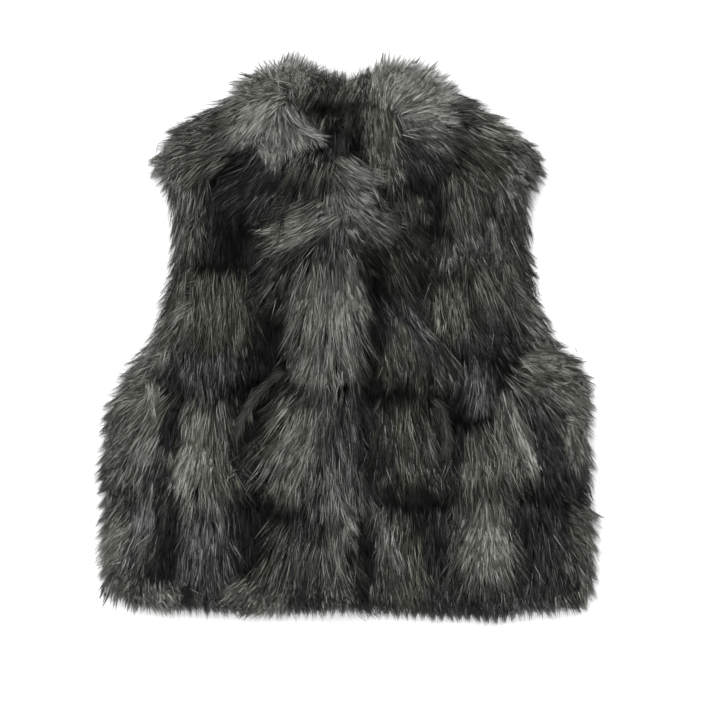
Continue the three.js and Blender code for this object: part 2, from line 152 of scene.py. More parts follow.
def feel(node):
    """Top height of one solid over the grid, with nan where it isn't."""
    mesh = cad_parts[node].data
    points = [v.co.copy() for v in mesh.vertices]
    faces = [tuple(p.vertices) for p in mesh.polygons]
    tree = BVHTree.FromPolygons(points, faces)
    low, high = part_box(node)
    heights = np.full((len(GRID_Y), len(GRID_X)), np.nan)
    down = Vector((0, 0, -1))
    for j in np.nonzero((GRID_Y > low.y) & (GRID_Y < high.y))[0]:
        for i in np.nonzero((GRID_X > low.x) & (GRID_X < high.x))[0]:
            hit = tree.ray_cast(Vector((GRID_X[i], GRID_Y[j], PROBE_HEIGHT)), down)[0]
            if hit is not None:
                heights[j, i] = hit.z
    return heights


def blur(field, reach):
    """A field softened over a reach in metres, by three passes of a box."""
    width = max(int(round(reach / GRID_STEP / 1.7)), 1) * 2 + 1
    kernel = np.ones(width) / width
    pad = width // 2
    for _ in range(3):
        for axis in (0, 1):
            around = np.pad(field, [(pad, pad) if a == axis else (0, 0) for a in (0, 1)], "edge")
            field = np.apply_along_axis(np.convolve, axis, around, kernel, "valid")
    return field


def sample(field, x, y):
    """A field's values at many places, read between the grid's points."""
    i = np.clip((np.asarray(x) - GRID_X[0]) / GRID_STEP, 0, len(GRID_X) - 1.001)
    j = np.clip((np.asarray(y) - GRID_Y[0]) / GRID_STEP, 0, len(GRID_Y) - 1.001)
    i0 = i.astype(int)
    j0 = j.astype(int)
    fi = i - i0
    fj = j - j0
    upper = field[j0, i0] * (1 - fi) + field[j0, i0 + 1] * fi
    lower = field[j0 + 1, i0] * (1 - fi) + field[j0 + 1, i0 + 1] * fi
    return upper * (1 - fj) + lower * fj


tops = {node: feel(node) for node in ("back", "front_right", "front_left", "collar")}
highest = np.fmax.reduce(list(tops.values()))
covered = ~np.isnan(highest)
reach_height = blur(np.where(covered, highest, FLOOR_REST), REACH_BLUR)
near_cover = blur(covered.astype(float), NEAR_BLUR)
edge_cover = blur(covered.astype(float), EDGE_BLUR)
wide_cover = blur(covered.astype(float), WIDE_BLUR)
slope_y, slope_x = np.gradient(wide_cover, GRID_STEP)
print("covered area", round(float(covered.sum()) * GRID_STEP ** 2, 3), "square metres")

# %% [markdown]
# Under the pile each panel has a knitted backing with a dense, dark undercoat. Here it is a thin
# shell a little below the fur's reach, pressed from a fine grid and given its thickness by a
# Solidify modifier. Its near-black colour is the undercoat's own dark colour with painted shade
# added, standing for the shade deep among the roots. Cloth of the back is the thickest layer,
# because the vest's weight presses its pile flat on the floor.

# %% Undercoat finish, darkened with painted shade
def colour_ramp(tree, value, stops):
    """A ramp from stops of a place and a colour, read at a value."""
    node = tree.nodes.new("ShaderNodeValToRGB")
    elements = node.color_ramp.elements
    while len(elements) < len(stops):
        elements.new(0.5)
    for element, (position, colour) in zip(elements, stops):
        element.position = position
        element.color = (*colour, 1)
    tree.links.new(value, node.inputs["Fac"])
    return node.outputs["Color"]


def undercoat_painted_shade_finish():
    """Dark, short, streaky pile, near black with painted shade: noise drawn out along the fall of
    the hair.
    """
    material = bpy.data.materials.new("undercoat_painted_shade")
    material.use_nodes = True
    nodes = material.node_tree.nodes
    links = material.node_tree.links
    shader = nodes["Principled BSDF"]
    shader.inputs["Roughness"].default_value = 0.95
    shader.inputs["Specular IOR Level"].default_value = 0.15
    place = nodes.new("ShaderNodeTexCoord")
    stretch = nodes.new("ShaderNodeMapping")
    stretch.inputs["Scale"].default_value = (900, 110, 300)
    streaks = nodes.new("ShaderNodeTexNoise")
    streaks.inputs["Scale"].default_value = 1.0
    streaks.inputs["Detail"].default_value = 4.0
    # Near-black tones: the undercoat's own dark colour and painted shade of the deep pile.
    undercoat_shade_tint = colour_ramp(material.node_tree, streaks.outputs["Fac"], [
        (0.35, (0.005, 0.005, 0.006)),
        (0.7, (0.038, 0.038, 0.036)),
    ])
    raise_hair = nodes.new("ShaderNodeBump")
    raise_hair.inputs["Strength"].default_value = 0.8
    raise_hair.inputs["Distance"].default_value = 0.002
    links.new(place.outputs["Object"], stretch.inputs["Vector"])
    links.new(stretch.outputs["Vector"], streaks.inputs["Vector"])
    links.new(undercoat_shade_tint, shader.inputs["Base Color"])
    links.new(streaks.outputs["Fac"], raise_hair.inputs["Height"])
    links.new(raise_hair.outputs["Normal"], shader.inputs["Normal"])
    return material


undercoat_painted_shade = undercoat_painted_shade_finish()

# %% Press a shell from a grid
SHELL_STEP = 0.009
SHELL_COVER = 0.9
SHELL_BLUR = 0.004


def press_shell(name, node, below_reach, thickness, lowest, inset=0.012):
    """A thin shell on one panel's form, kept a little inside its outline."""
    own = ~np.isnan(tops[node])
    cover = blur(own.astype(float), inset)
    height = blur(np.where(own, np.nan_to_num(tops[node]), 0.0), SHELL_BLUR)
    height = height / np.maximum(blur(own.astype(float), SHELL_BLUR), 1e-3)
    low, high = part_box(node)
    span = high - low
    bpy.ops.mesh.primitive_grid_add(
        x_subdivisions=int(span.x / SHELL_STEP),
        y_subdivisions=int(span.y / SHELL_STEP),
        size=1,
    )
    shell = bpy.context.object
    shell.name = name
    points = np.empty(len(shell.data.vertices) * 3, np.float32)
    shell.data.vertices.foreach_get("co", points)
    points = points.reshape(-1, 3)
    points[:, 0] = low.x + (points[:, 0] + 0.5) * span.x
    points[:, 1] = low.y + (points[:, 1] + 0.5) * span.y
    points[:, 2] = np.maximum(sample(height, points[:, 0], points[:, 1]) - below_reach, lowest)
    shell.data.vertices.foreach_set("co", points.ravel())
    outside = sample(cover, points[:, 0], points[:, 1]) < SHELL_COVER
    bpy.ops.object.mode_set(mode="EDIT")
    bpy.ops.mesh.select_all(action="DESELECT")
    bpy.ops.object.mode_set(mode="OBJECT")
    shell.data.vertices.foreach_set("select", outside)
    bpy.ops.object.mode_set(mode="EDIT")
    bpy.ops.mesh.delete(type="VERT")
    bpy.ops.object.mode_set(mode="OBJECT")
    solidify = shell.modifiers.new("thickness", "SOLIDIFY")
    solidify.thickness = thickness
    solidify.offset = -1
    bpy.ops.object.modifier_apply(modifier=solidify.name)
    bpy.ops.object.shade_smooth()
    shell.data.materials.append(undercoat_painted_shade)
    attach(shell, "root")
    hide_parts(node)
    bpy.ops.object.select_all(action="DESELECT")
    return shell


cloth_back = press_shell("cloth_back", "back", 0.0015, 0.0122, 0.0)
cloth_front_right = press_shell("cloth_front_right", "front_right", 0.009, 0.004, 0.019)
cloth_front_left = press_shell("cloth_front_left", "front_left", 0.009, 0.004, 0.019)
cloth_collar = press_shell("cloth_collar", "collar", 0.009, 0.004, 0.019, 0.004)
for shell, slot in (
    (cloth_back, "fur_back"),
    (cloth_front_right, "fur_front"),
    (cloth_front_left, "fur_front"),
    (cloth_collar, "fur_collar"),
):
    print(shell.name, len(shell.data.polygons), "faces")

# %% [markdown]
# The pile itself. A hair is a closed spindle of three sides: pointed at the root, fullest about a
# third of the way along and pointed at the tip. Six triangles are enough for one, so there can be
# many. All hairs of a piece are built at once as arrays and become one joined mesh, which is far
# quicker than adding them one by one.
#
# Its colour rides on its UV map: across the map lie the shades, in eight strips from blue grey to
# olive grey, and up the map lies the way from root to tip.

# %% Hair builder
HUE_STRIPS = 8
STRIP_MARGIN = 0.08
SHADE_SPREAD = 0.0016
RING_SIDES = 3
HAIR_STAGES = np.array([0.0, 0.36, 1.0])
LAST = len(HAIR_STAGES) - 1
CORNERS = np.array([0, 2, 1, 0, 3, 2, 0, 1, 3, 1, 2, 4, 2, 3, 4, 3, 1, 4])
STAGE_OF_POINT = np.array([0, 1, 1, 1, 2])
STEP_OF_POINT = np.array([0, 0, 1, 2, 1])


def unit(vectors):
    return vectors / (np.linalg.norm(vectors, axis=1, keepdims=True) + 1e-9)


def hair_map(tone, olive):
    """Place across the map for each hair's shades."""
    strip = np.clip(np.round(olive * (HUE_STRIPS - 1)), 0, HUE_STRIPS - 1)
    inside = STRIP_MARGIN + np.clip(tone, 0, 1) * (1 - 2 * STRIP_MARGIN)
    return (strip + inside) / HUE_STRIPS


def build_hairs(name, path, width, tone, olive, random):
    """One mesh of many hairs. path has a point, and tone a shade, for each hair and stage."""
    count = len(path)
    along = unit(path[:, LAST] - path[:, 0])
    side = unit(np.cross(along, (0.0, 0.0, 1.0)))
    up = np.cross(side, along)
    turn = random.uniform(0, 2 * math.pi, count)
    points = np.empty((count, RING_SIDES + 2, 3))
    points[:, 0] = path[:, 0]
    points[:, -1] = path[:, LAST]
    for k in range(RING_SIDES):
        angle = (turn + 2 * math.pi * k / RING_SIDES)[:, None]
        spoke = np.cos(angle) * side + np.sin(angle) * up
        points[:, 1 + k] = path[:, 1] + spoke * (width / 2)[:, None]
    loops = (CORNERS[None, :] + points.shape[1] * np.arange(count)[:, None]).ravel()
    mesh = bpy.data.meshes.new(name)
    mesh.vertices.add(points.shape[0] * points.shape[1])
    mesh.vertices.foreach_set("co", points.astype(np.float32).ravel())
    mesh.loops.add(len(loops))
    mesh.loops.foreach_set("vertex_index", loops.astype(np.int32))
    mesh.polygons.add(len(loops) // 3)
    mesh.polygons.foreach_set("loop_start", np.arange(0, len(loops), 3, dtype=np.int32))
    mesh.polygons.foreach_set("use_smooth", np.ones(len(loops) // 3, bool))
    mesh.update(calc_edges=True)
    stage = STAGE_OF_POINT[CORNERS]
    height = HAIR_STAGES[stage]
    shade = hair_map(tone, olive[:, None])[:, stage] + SHADE_SPREAD * STEP_OF_POINT[CORNERS]
    uv = np.stack([shade, np.broadcast_to(0.01 + 0.98 * height, shade.shape)], 2)
    layer = mesh.uv_layers.new(name="OFBake")
    layer.uv.foreach_set("vector", uv.astype(np.float32).ravel())
    hairs = bpy.data.objects.new(name, mesh)
    scene.collection.objects.link(hairs)
    return hairs


# %% [markdown]
# The finish of the hair reads that map. Each strip gives the hue, the place inside it gives the
# shade, and a ramp from root to tip darkens the roots. Acrylic hair is a little glossy.

# %% Hair finish
ROOT_TO_TIP = ((0.0, 0.14), (0.28, 0.55), (0.62, 1.0), (1.0, 0.96))


def hair_finish():
    material = bpy.data.materials.new("acrylic_hair")
    material.use_nodes = True
    nodes = material.node_tree.nodes
    links = material.node_tree.links
    shader = nodes["Principled BSDF"]
    shader.inputs["Roughness"].default_value = 0.5
    shader.inputs["Specular IOR Level"].default_value = 0.15

    def feed(socket, value):
        if isinstance(value, (int, float)):
            socket.default_value = value
        else:
            links.new(value, socket)

    def number(operation, *values):
        node = nodes.new("ShaderNodeMath")
        node.operation = operation
        for socket, value in zip(node.inputs, values):
            feed(socket, value)
        return node.outputs[0]

    def mix(blend, amount, first, second):
        node = nodes.new("ShaderNodeMix")
        node.data_type = "RGBA"
        node.blend_type = blend
        feed(node.inputs["Factor"], amount)
        links.new(first, node.inputs["A"])
        links.new(second, node.inputs["B"])
        return node.outputs["Result"]

    where = nodes.new("ShaderNodeUVMap")
    where.uv_map = "OFBake"
    split = nodes.new("ShaderNodeSeparateXYZ")
    links.new(where.outputs["UV"], split.inputs["Vector"])
    strips = number("MULTIPLY", split.outputs["X"], HUE_STRIPS)
    hue = number("DIVIDE", number("FLOOR", strips), HUE_STRIPS - 1)
    inside = number("SUBTRACT", number("FRACT", strips), STRIP_MARGIN)
    shade = number("DIVIDE", inside, 1 - 2 * STRIP_MARGIN)
    blue_grey = colour_ramp(material.node_tree, shade, [
        (0.0, (0.0024, 0.0024, 0.003)),
        (0.3, (0.0175, 0.0175, 0.020)),
        (0.65, (0.103, 0.104, 0.107)),
        (1.0, (0.38, 0.384, 0.376)),
    ])
    olive_grey = colour_ramp(material.node_tree, shade, [
        (0.0, (0.003, 0.003, 0.0024)),
        (0.3, (0.020, 0.0205, 0.0155)),
        (0.65, (0.1155, 0.1185, 0.090)),
        (1.0, (0.395, 0.403, 0.350)),
    ])
    stops = [(position, (light, light, light)) for position, light in ROOT_TO_TIP]
    root_to_tip = colour_ramp(material.node_tree, split.outputs["Y"], stops)
    colour = mix("MULTIPLY", 1.0, mix("MIX", hue, blue_grey, olive_grey), root_to_tip)
    links.new(colour, shader.inputs["Base Color"])
    return material


acrylic_hair = hair_finish()

# %% [markdown]
# Fur like this is sewn from strips, and the hair of each strip falls over the seam below it. Each
# row charts one such block: its middle and size, the lean of its fall towards the right, how far
# its sides fan out, its shades at the head, in the body and at the ends, and its hue. Shades go
# from 0, near black, to 1, the lightest grey; olive goes from 0, blue grey, to 1, olive grey. The
# shades hold the fur's own patchy colour with painted shade in it: heads mostly darker under the
# overhang of the strip above, and the darkest blocks set where the valleys lie in shade.

# %% Chart of the fur blocks
BLOCK_COLUMNS = ("across", "down", "wide", "long", "lean", "fan", "head", "body", "ends", "olive")
BLOCKS_RIGHT_TOP = [
    (200, 144, 66, 84, -64, 18, 0.4, 0.53, 0.7, 0.65),
    (168, 168, 34, 44, -50, 20, 0.5, 0.68, 0.8, 0.5),
    (186, 215, 48, 98, -8, 14, 0.36, 0.5, 0.48, 0.6),
    (224, 212, 38, 92, -6, 8, 0.2, 0.22, 0.2, 0.15),
    (262, 186, 64, 84, -40, 16, 0.26, 0.38, 0.36, 0.08),
    (300, 224, 50, 90, -58, 14, 0.52, 0.64, 0.5, 0.7),
    (334, 232, 34, 80, 0, 14, 0.5, 0.48, 0.52, 0.3),
    (282, 284, 50, 64, -26, 14, 0.3, 0.42, 0.42, 0.45),
    (212, 304, 92, 98, -4, 24, 0.36, 0.52, 0.48, 0.85),
    (160, 330, 58, 84, -44, 24, 0.5, 0.66, 0.66, 0.6),
    (206, 364, 86, 60, -2, 14, 0.36, 0.48, 0.4, 0.1),
    (262, 354, 38, 72, 0, 8, 0.16, 0.18, 0.16, 0.15),
    (368, 220, 48, 58, 48, 20, 0.5, 0.66, 0.62, 0.4),
    (358, 254, 36, 50, 28, 14, 0.42, 0.54, 0.5, 0.6),
    (326, 318, 68, 142, -2, 32, 0.58, 0.76, 0.72, 0.62),
]
BLOCKS_RIGHT_LOW = [
    (140, 398, 66, 86, -50, 26, 0.56, 0.66, 0.62, 0.65),
    (140, 456, 74, 90, -26, 26, 0.56, 0.68, 0.5, 0.55),
    (118, 550, 66, 114, -34, 18, 0.5, 0.66, 0.64, 0.65),
    (150, 538, 46, 112, -8, 14, 0.58, 0.56, 0.34, 0.1),
    (206, 448, 64, 134, -2, 36, 0.5, 0.76, 0.68, 0.7),
    (203, 550, 74, 132, 0, 26, 0.58, 0.5, 0.44, 0.12),
    (247, 482, 34, 160, 6, 10, 0.2, 0.22, 0.18, 0.15),
    (168, 592, 40, 48, 28, 16, 0.54, 0.8, 0.74, 0.55),
    (260, 598, 66, 46, -34, 16, 0.54, 0.7, 0.66, 0.8),
    (290, 439, 64, 130, -26, 26, 0.46, 0.76, 0.64, 0.7),
    (338, 446, 56, 154, 4, 20, 0.52, 0.52, 0.68, 0.25),
    (282, 556, 48, 98, -22, 18, 0.3, 0.6, 0.5, 0.7),
    (306, 558, 34, 112, -4, 10, 0.26, 0.32, 0.34, 0.15),
    (334, 560, 50, 120, 4, 18, 0.4, 0.62, 0.5, 0.5),
]
BLOCKS_LEFT_TOP = [
    (480, 122, 72, 76, 66, 20, 0.42, 0.54, 0.68, 0.65),
    (480, 160, 60, 60, 50, 16, 0.36, 0.46, 0.5, 0.85),
    (512, 184, 54, 66, 36, 26, 0.58, 0.64, 0.5, 0.5),
    (466, 198, 46, 84, 12, 16, 0.36, 0.52, 0.5, 0.7),
    (476, 236, 44, 52, 14, 16, 0.46, 0.58, 0.5, 0.15),
    (506, 240, 34, 92, 18, 12, 0.42, 0.5, 0.46, 0.6),
    (446, 248, 56, 52, 4, 14, 0.4, 0.5, 0.44, 0.6),
    (450, 304, 44, 80, 6, 12, 0.4, 0.6, 0.5, 0.95),
    (488, 278, 50, 82, 20, 14, 0.44, 0.52, 0.44, 0.7),
    (486, 326, 66, 68, 18, 16, 0.32, 0.36, 0.34, 0.08),
    (522, 312, 34, 80, 34, 14, 0.44, 0.54, 0.56, 0.6),
    (473, 380, 44, 68, 0, 12, 0.34, 0.52, 0.56, 0.08),
    (404, 258, 58, 86, 28, 18, 0.2, 0.32, 0.24, 0.85),
    (404, 326, 56, 100, 22, 20, 0.34, 0.48, 0.44, 0.15),
    (428, 356, 46, 82, 12, 16, 0.36, 0.52, 0.46, 0.75),
    (390, 348, 24, 72, 6, 8, 0.4, 0.58, 0.44, 0.9),
    (404, 190, 50, 70, 12, 12, 0.38, 0.44, 0.38, 0.4),
]
BLOCKS_LEFT_LOW = [
    (404, 438, 60, 110, 6, 16, 0.3, 0.56, 0.44, 0.85),
    (378, 440, 34, 104, 0, 8, 0.26, 0.32, 0.28, 0.2),
    (434, 444, 34, 96, 10, 8, 0.3, 0.4, 0.34, 0.3),
    (384, 548, 34, 108, -4, 16, 0.44, 0.64, 0.44, 0.45),
    (406, 558, 42, 118, 4, 14, 0.4, 0.58, 0.42, 0.85),
    (440, 557, 40, 122, 2, 12, 0.3, 0.38, 0.34, 0.2),
    (482, 462, 70, 104, 14, 22, 0.34, 0.62, 0.44, 0.75),
    (484, 540, 60, 124, 4, 30, 0.54, 0.68, 0.46, 0.62),
    (552, 376, 58, 108, 62, 28, 0.48, 0.56, 0.58, 0.7),
    (513, 432, 30, 114, 16, 6, 0.54, 0.74, 0.66, 0.65),
    (546, 440, 56, 122, 26, 16, 0.42, 0.4, 0.36, 0.15),
    (580, 436, 36, 112, 38, 14, 0.5, 0.6, 0.58, 0.6),
    (542, 542, 56, 112, 10, 14, 0.28, 0.32, 0.36, 0.05),
    (580, 560, 44, 98, 26, 16, 0.46, 0.56, 0.58, 0.7),
    (450, 598, 60, 46, 0, 12, 0.32, 0.38, 0.36, 0.15),
    (512, 598, 78, 44, 8, 12, 0.32, 0.42, 0.46, 0.15),
    (556, 602, 48, 38, 14, 12, 0.4, 0.52, 0.52, 0.6),
]
BLOCKS_COLLAR = [
    (250, 119, 32, 66, -42, 14, 0.52, 0.74, 0.88, 0.5),
    (272, 122, 32, 70, -4, 12, 0.54, 0.76, 0.84, 0.45),
    (291, 121, 26, 62, 20, 10, 0.52, 0.78, 0.88, 0.45),
    (306, 127, 14, 44, 52, 6, 0.56, 0.82, 0.96, 0.45),
    (254, 95, 48, 76, -80, 18, 0.5, 0.6, 0.74, 0.8),
    (272, 82, 44, 64, -106, 18, 0.52, 0.62, 0.76, 0.72),
    (298, 80, 42, 60, 176, 20, 0.54, 0.76, 0.96, 0.6),
    (320, 98, 34, 62, -18, 16, 0.4, 0.5, 0.54, 0.8),
    (350, 96, 38, 60, -12, 20, 0.42, 0.54, 0.58, 0.8),
    (338, 78, 64, 34, 174, 16, 0.4, 0.52, 0.56, 0.8),
    (344, 134, 42, 40, 6, 12, 0.3, 0.4, 0.36, 0.2),
    # Painted shade: near-black hair where the collar goes down into the neck opening.
    (317, 114, 14, 48, 46, 6, 0.14, 0.2, 0.2, 0.2),
    (304, 168, 66, 58, -22, 20, 0.4, 0.5, 0.46, 0.6),
    (350, 172, 40, 58, 52, 24, 0.48, 0.74, 0.84, 0.5),
    (328, 188, 34, 42, -8, 16, 0.44, 0.6, 0.62, 0.5),
    (420, 112, 44, 76, 92, 16, 0.58, 0.78, 0.92, 0.5),
    (420, 84, 40, 72, 118, 16, 0.6, 0.84, 1.0, 0.55),
    (394, 82, 44, 68, 154, 20, 0.6, 0.84, 1.0, 0.55),
    (424, 136, 36, 68, 62, 12, 0.42, 0.52, 0.62, 0.35),
    (374, 92, 30, 56, 176, 14, 0.5, 0.66, 0.74, 0.7),
    (382, 138, 44, 92, 4, 18, 0.54, 0.6, 0.6, 0.8),
    (414, 152, 42, 60, 36, 16, 0.3, 0.42, 0.46, 0.15),
]

# %% [markdown]
# Where the fur parts, its hollows fall into shade, and where it swells, the light catches it.
# Both are painted into the hair's colour: painted shade in the hollows, painted light on the
# swells.
# The chart below marks such places: the middle, width and length of an oval, its turn and
# how much darker or lighter the hair gets there. A second chart marks where the hair is cut
# shorter at the vest's outline, or, below nought, reaches further out.

# %% Chart of painted shade in hollows and painted light
# Negative changes are painted shade in hollows, positive ones painted light on swells.
PAINTED_HOLLOWS_AND_LIGHTS = [
    (238, 240, 30, 60, 0, -0.24),
    (270, 350, 28, 84, 0, -0.24),
    (258, 424, 34, 70, 15, -0.24),
    (254, 522, 26, 80, 0, -0.26),
    (172, 520, 18, 80, -8, -0.26),
    (188, 598, 16, 34, 0, -0.34),
    (414, 180, 16, 30, 0, -0.14),
    (438, 206, 16, 30, 0, -0.34),
    (374, 256, 20, 44, 20, -0.24),
    (376, 340, 18, 110, 0, -0.26),
    (418, 275, 20, 60, 10, -0.16),
    (504, 362, 14, 34, -40, -0.26),
    (456, 424, 20, 60, 0, -0.28),
    (415, 392, 90, 16, 0, -0.22),
    (398, 498, 64, 11, 0, -0.28),
    (420, 520, 16, 60, 0, -0.2),
    (364, 558, 16, 90, 0, -0.32),
    (353, 142, 14, 22, 0, -0.28),
    (338, 104, 44, 16, 4, 0.16),
    (315, 116, 9, 44, 46, -0.22),
    (242, 440, 22, 70, 8, -0.28),
    (173, 425, 20, 60, 10, -0.3),
    (285, 252, 40, 14, -20, -0.18),
    (365, 262, 18, 26, 0, -0.22),
    (325, 240, 10, 12, 0, -0.22),
    (520, 232, 12, 56, 0, -0.2),
    (480, 497, 60, 10, 5, -0.16),
    (560, 493, 80, 12, 0, -0.2),
    (466, 422, 34, 12, 0, -0.14),
    (456, 434, 16, 34, 0, -0.2),
    (245, 383, 44, 9, 0, -0.22),
    (152, 572, 18, 34, 0, -0.18),
    (438, 540, 12, 30, 0, -0.15),
    (150, 442, 32, 44, 0, 0.18),
    (200, 490, 30, 36, 0, 0.1),
    (190, 556, 16, 26, 0, 0.12),
    (143, 520, 18, 50, 0, 0.1),
    (328, 484, 60, 36, 0, 0.13),
    (340, 215, 36, 24, 0, 0.1),
    (345, 256, 18, 22, 0, 0.12),
    (590, 450, 18, 60, 0, 0.1),
    (536, 308, 22, 44, 0, 0.18),
    (470, 236, 14, 20, 0, 0.12),
    (230, 200, 24, 60, 0, -0.14),
    (170, 548, 20, 46, 0, -0.2),
    (488, 508, 44, 24, 0, 0.14),
    (268, 416, 20, 50, 18, -0.16),
    (302, 248, 26, 14, 0, -0.14),
    (526, 364, 44, 30, 0, 0.1),
    (322, 430, 24, 34, 0, -0.14),
    (402, 430, 20, 24, 0, -0.1),
    (160, 530, 12, 46, 0, -0.12),
    (186, 190, 24, 30, 0, 0.08),
    (526, 456, 10, 50, 20, 0.12),
]
OUTLINE_TOUCHES = [
    (254, 66, 60, 34, 20, 0.44),
    (288, 52, 34, 20, 0, 0.2),
    (226, 92, 34, 24, 0, 0.2),
    (138, 360, 34, 44, 0, 0.36),
    (162, 328, 24, 50, 0, 0.24),
    (150, 162, 20, 24, 0, 0.16),
    (424, 66, 56, 26, -30, 0.24),
    (104, 598, 34, 34, 0, 0.46),
    (466, 624, 44, 24, 0, 0.14),
    (550, 318, 28, 70, 0, 0.26),
    (590, 362, 34, 34, 0, 0.16),
    (270, 614, 170, 34, 0, -0.16),
    (446, 616, 70, 30, 0, -0.12),
]


def touch(x, y, chart=PAINTED_HOLLOWS_AND_LIGHTS):
    """Sum of the ovals of a chart at many places, each fading out from its middle."""
    change = np.zeros(np.shape(x))
    for across, down, wide, long, turn, amount in chart:
        middle_x, middle_y = on_sheet(across, down)
        cos, sin = math.cos(math.radians(turn)), math.sin(math.radians(turn))
        u = ((x - middle_x) * cos + (y - middle_y) * sin) / (wide * MM / 2)
        v = ((y - middle_y) * cos - (x - middle_x) * sin) / (long * MM / 2)
        change += amount * np.exp(-(u * u + v * v))
    return change


# %% [markdown]
# Hair never lies evenly. It gathers into locks a few millimetres wide whose tips draw together,
# each lock with its own shade, length and turn, and a lock splits again into fine strands of a
# few hairs. The helper below gives every lock its own chance numbers, from a seed, so that the
# vest comes out the same each time. Each kind of number, such as turn or tone, has its own row.

# %% Locks
LOCK_WIDTH = 0.0070
STRAND_WIDTH = 0.0014
LOCK_ASPECT = 1.6
LOCK_TABLE = 8192
TURN, BEND, LENGTH, TONE, HUE, PLACE, LIFT, REACH = range(8)


class Locks:
    """Chance numbers shared by the hairs of one lock."""

    def __init__(self, seed, width=LOCK_WIDTH):
        self.width = width
        self.chances = np.random.default_rng(seed).uniform(-1, 1, (REACH + 1, LOCK_TABLE))

    def cell(self, x, y):
        wave_x = 0.35 * np.sin(y / self.width * 0.61 + 1.3)
        wave_y = 0.35 * np.sin(x / self.width * 0.47 + 0.4)
        i = np.floor(x / self.width + wave_x).astype(np.int64)
        j = np.floor(y / self.width / LOCK_ASPECT + wave_y).astype(np.int64)
        return i, j

    def chance(self, kind, x, y):
        i, j = self.cell(x, y)
        return self.chances[kind, (i * 73856093 ^ j * 19349663) % LOCK_TABLE]

    def from_middle(self, x, y):
        i, j = self.cell(x, y)
        middle_x = (i + 0.5) * self.width + 0.25 * self.width * self.chance(PLACE, x, y)
        middle_y = (j + 0.5) * self.width * LOCK_ASPECT
        return np.stack([x - middle_x, y - middle_y], 1)


strands = Locks(6, STRAND_WIDTH)

# %% [markdown]
# Combing. Each hair starts at its root, leaves in its own direction, turns a little, and follows
# the fur's reach. Near the vest's outline it swings outwards and comes down to the floor. Its
# neighbours in a lock draw it sideways towards the lock's middle, more and more to the tip. Tips
# that would pass the outline are cut back to it, but for a few wisps. Where a spread below has
# three numbers, they stand for a lock, a strand and a single hair, and where it has two, for a
# lock and a single hair.

# %% Comb the hairs
ROOT_SINK = 0.009
LOCK_DRAW = np.array([0.0, 0.15, 0.55])
STRAND_DRAW = np.array([0.0, 0.5, 0.8])
OUTWARD_SWING = 0.6
SWING_COVER = (0.52, 0.9)
BENDS = (0.30, 0.14, 0.06)
BEND_START = 0.3
HAIR_RISE = (0.8, 0.9)
LOWEST_HAIR = 0.0012
TRIM_COVER = 0.72
TRIM_SPREAD = 0.13
TRIM_LEAST = (0.02, 0.28)
TRIM_MOST = 0.95
HEM_BAND = (0.245, 0.265)
HEM_REACH = 0.14
WISP_SHARE = 0.13
WISP_COVER = (0.01, 0.25)
TUFT_WIDTH = 0.009
TUFT_COVER = (0.6, 0.97)
TUFT_DRAW = 0.75
TUFT_DRAW_MIDWAY = 0.3
DRAW_STEP = 0.002
DRAW_TIMES = 16
TRIM_STEP = 0.85
TRIM_TIMES = 8


def smooth(value, start, end):
    t = np.clip((value - start) / (end - start), 0, 1)
    return t * t * (3 - 2 * t)


def outward(x, y):
    """Unit direction away from the vest, and how close its outline is, from 0 to 1."""
    out = unit(np.stack([-sample(slope_x, x, y), -sample(slope_y, x, y)], 1))
    return out, 1 - smooth(sample(wide_cover, x, y), *SWING_COVER)


def sideways(direction):
    return np.stack([-direction[:, 1], direction[:, 0]], 1)


def tip_cover(path):
    return sample(edge_cover, path[:, LAST, 0], path[:, LAST, 1])


def cut_back(path, allowed):
    """Draw in the hairs whose tips lie where the vest's cover is less than allowed."""
    way = unit(path[:, LAST, :2] - path[:, 0, :2])
    for _ in range(DRAW_TIMES):
        over = tip_cover(path) < allowed
        path[over, :, :2] -= (way[over] * DRAW_STEP)[:, None]
    for _ in range(TRIM_TIMES):
        over = tip_cover(path) < allowed
        root = path[over, :1, :2]
        path[over, 1:, :2] = root + (path[over, 1:, :2] - root) * TRIM_STEP


def trim(path, random):
    """Gather the tips near the outline into pointed tufts, and cut back those that pass them."""
    meeting = path.copy()
    cut_back(meeting, np.full(len(path), 0.5))
    x, y = meeting[:, LAST, 0], meeting[:, LAST, 1]
    off = tufts.from_middle(x, y)
    near = 1 - smooth(tip_cover(path), *TUFT_COVER)
    across = sideways(unit(path[:, LAST, :2] - path[:, 0, :2]))
    draw = TUFT_DRAW * near * (off * across).sum(1)
    path[:, 1, :2] -= across * (TUFT_DRAW_MIDWAY * draw)[:, None]
    path[:, LAST, :2] -= across * draw[:, None]
    point = np.clip(1.2 - 1.6 * np.linalg.norm(off, axis=1) / tufts.width, 0, 1)
    point *= 0.55 + 0.45 * tufts.chance(REACH, x, y)
    hem = smooth(-path[:, LAST, 1], *HEM_BAND)
    allowed = TRIM_COVER - HEM_REACH * hem - point + random.normal(0, TRIM_SPREAD, len(path))
    allowed += touch(path[:, LAST, 0], path[:, LAST, 1], OUTLINE_TOUCHES)
    allowed = np.clip(allowed, random.uniform(*TRIM_LEAST, len(path)), TRIM_MOST)
    wisp = random.uniform(0, 1, len(path)) < WISP_SHARE
    allowed[wisp] = random.uniform(*WISP_COVER, wisp.sum())
    cut_back(path, allowed)


tufts = Locks(5, TUFT_WIDTH)


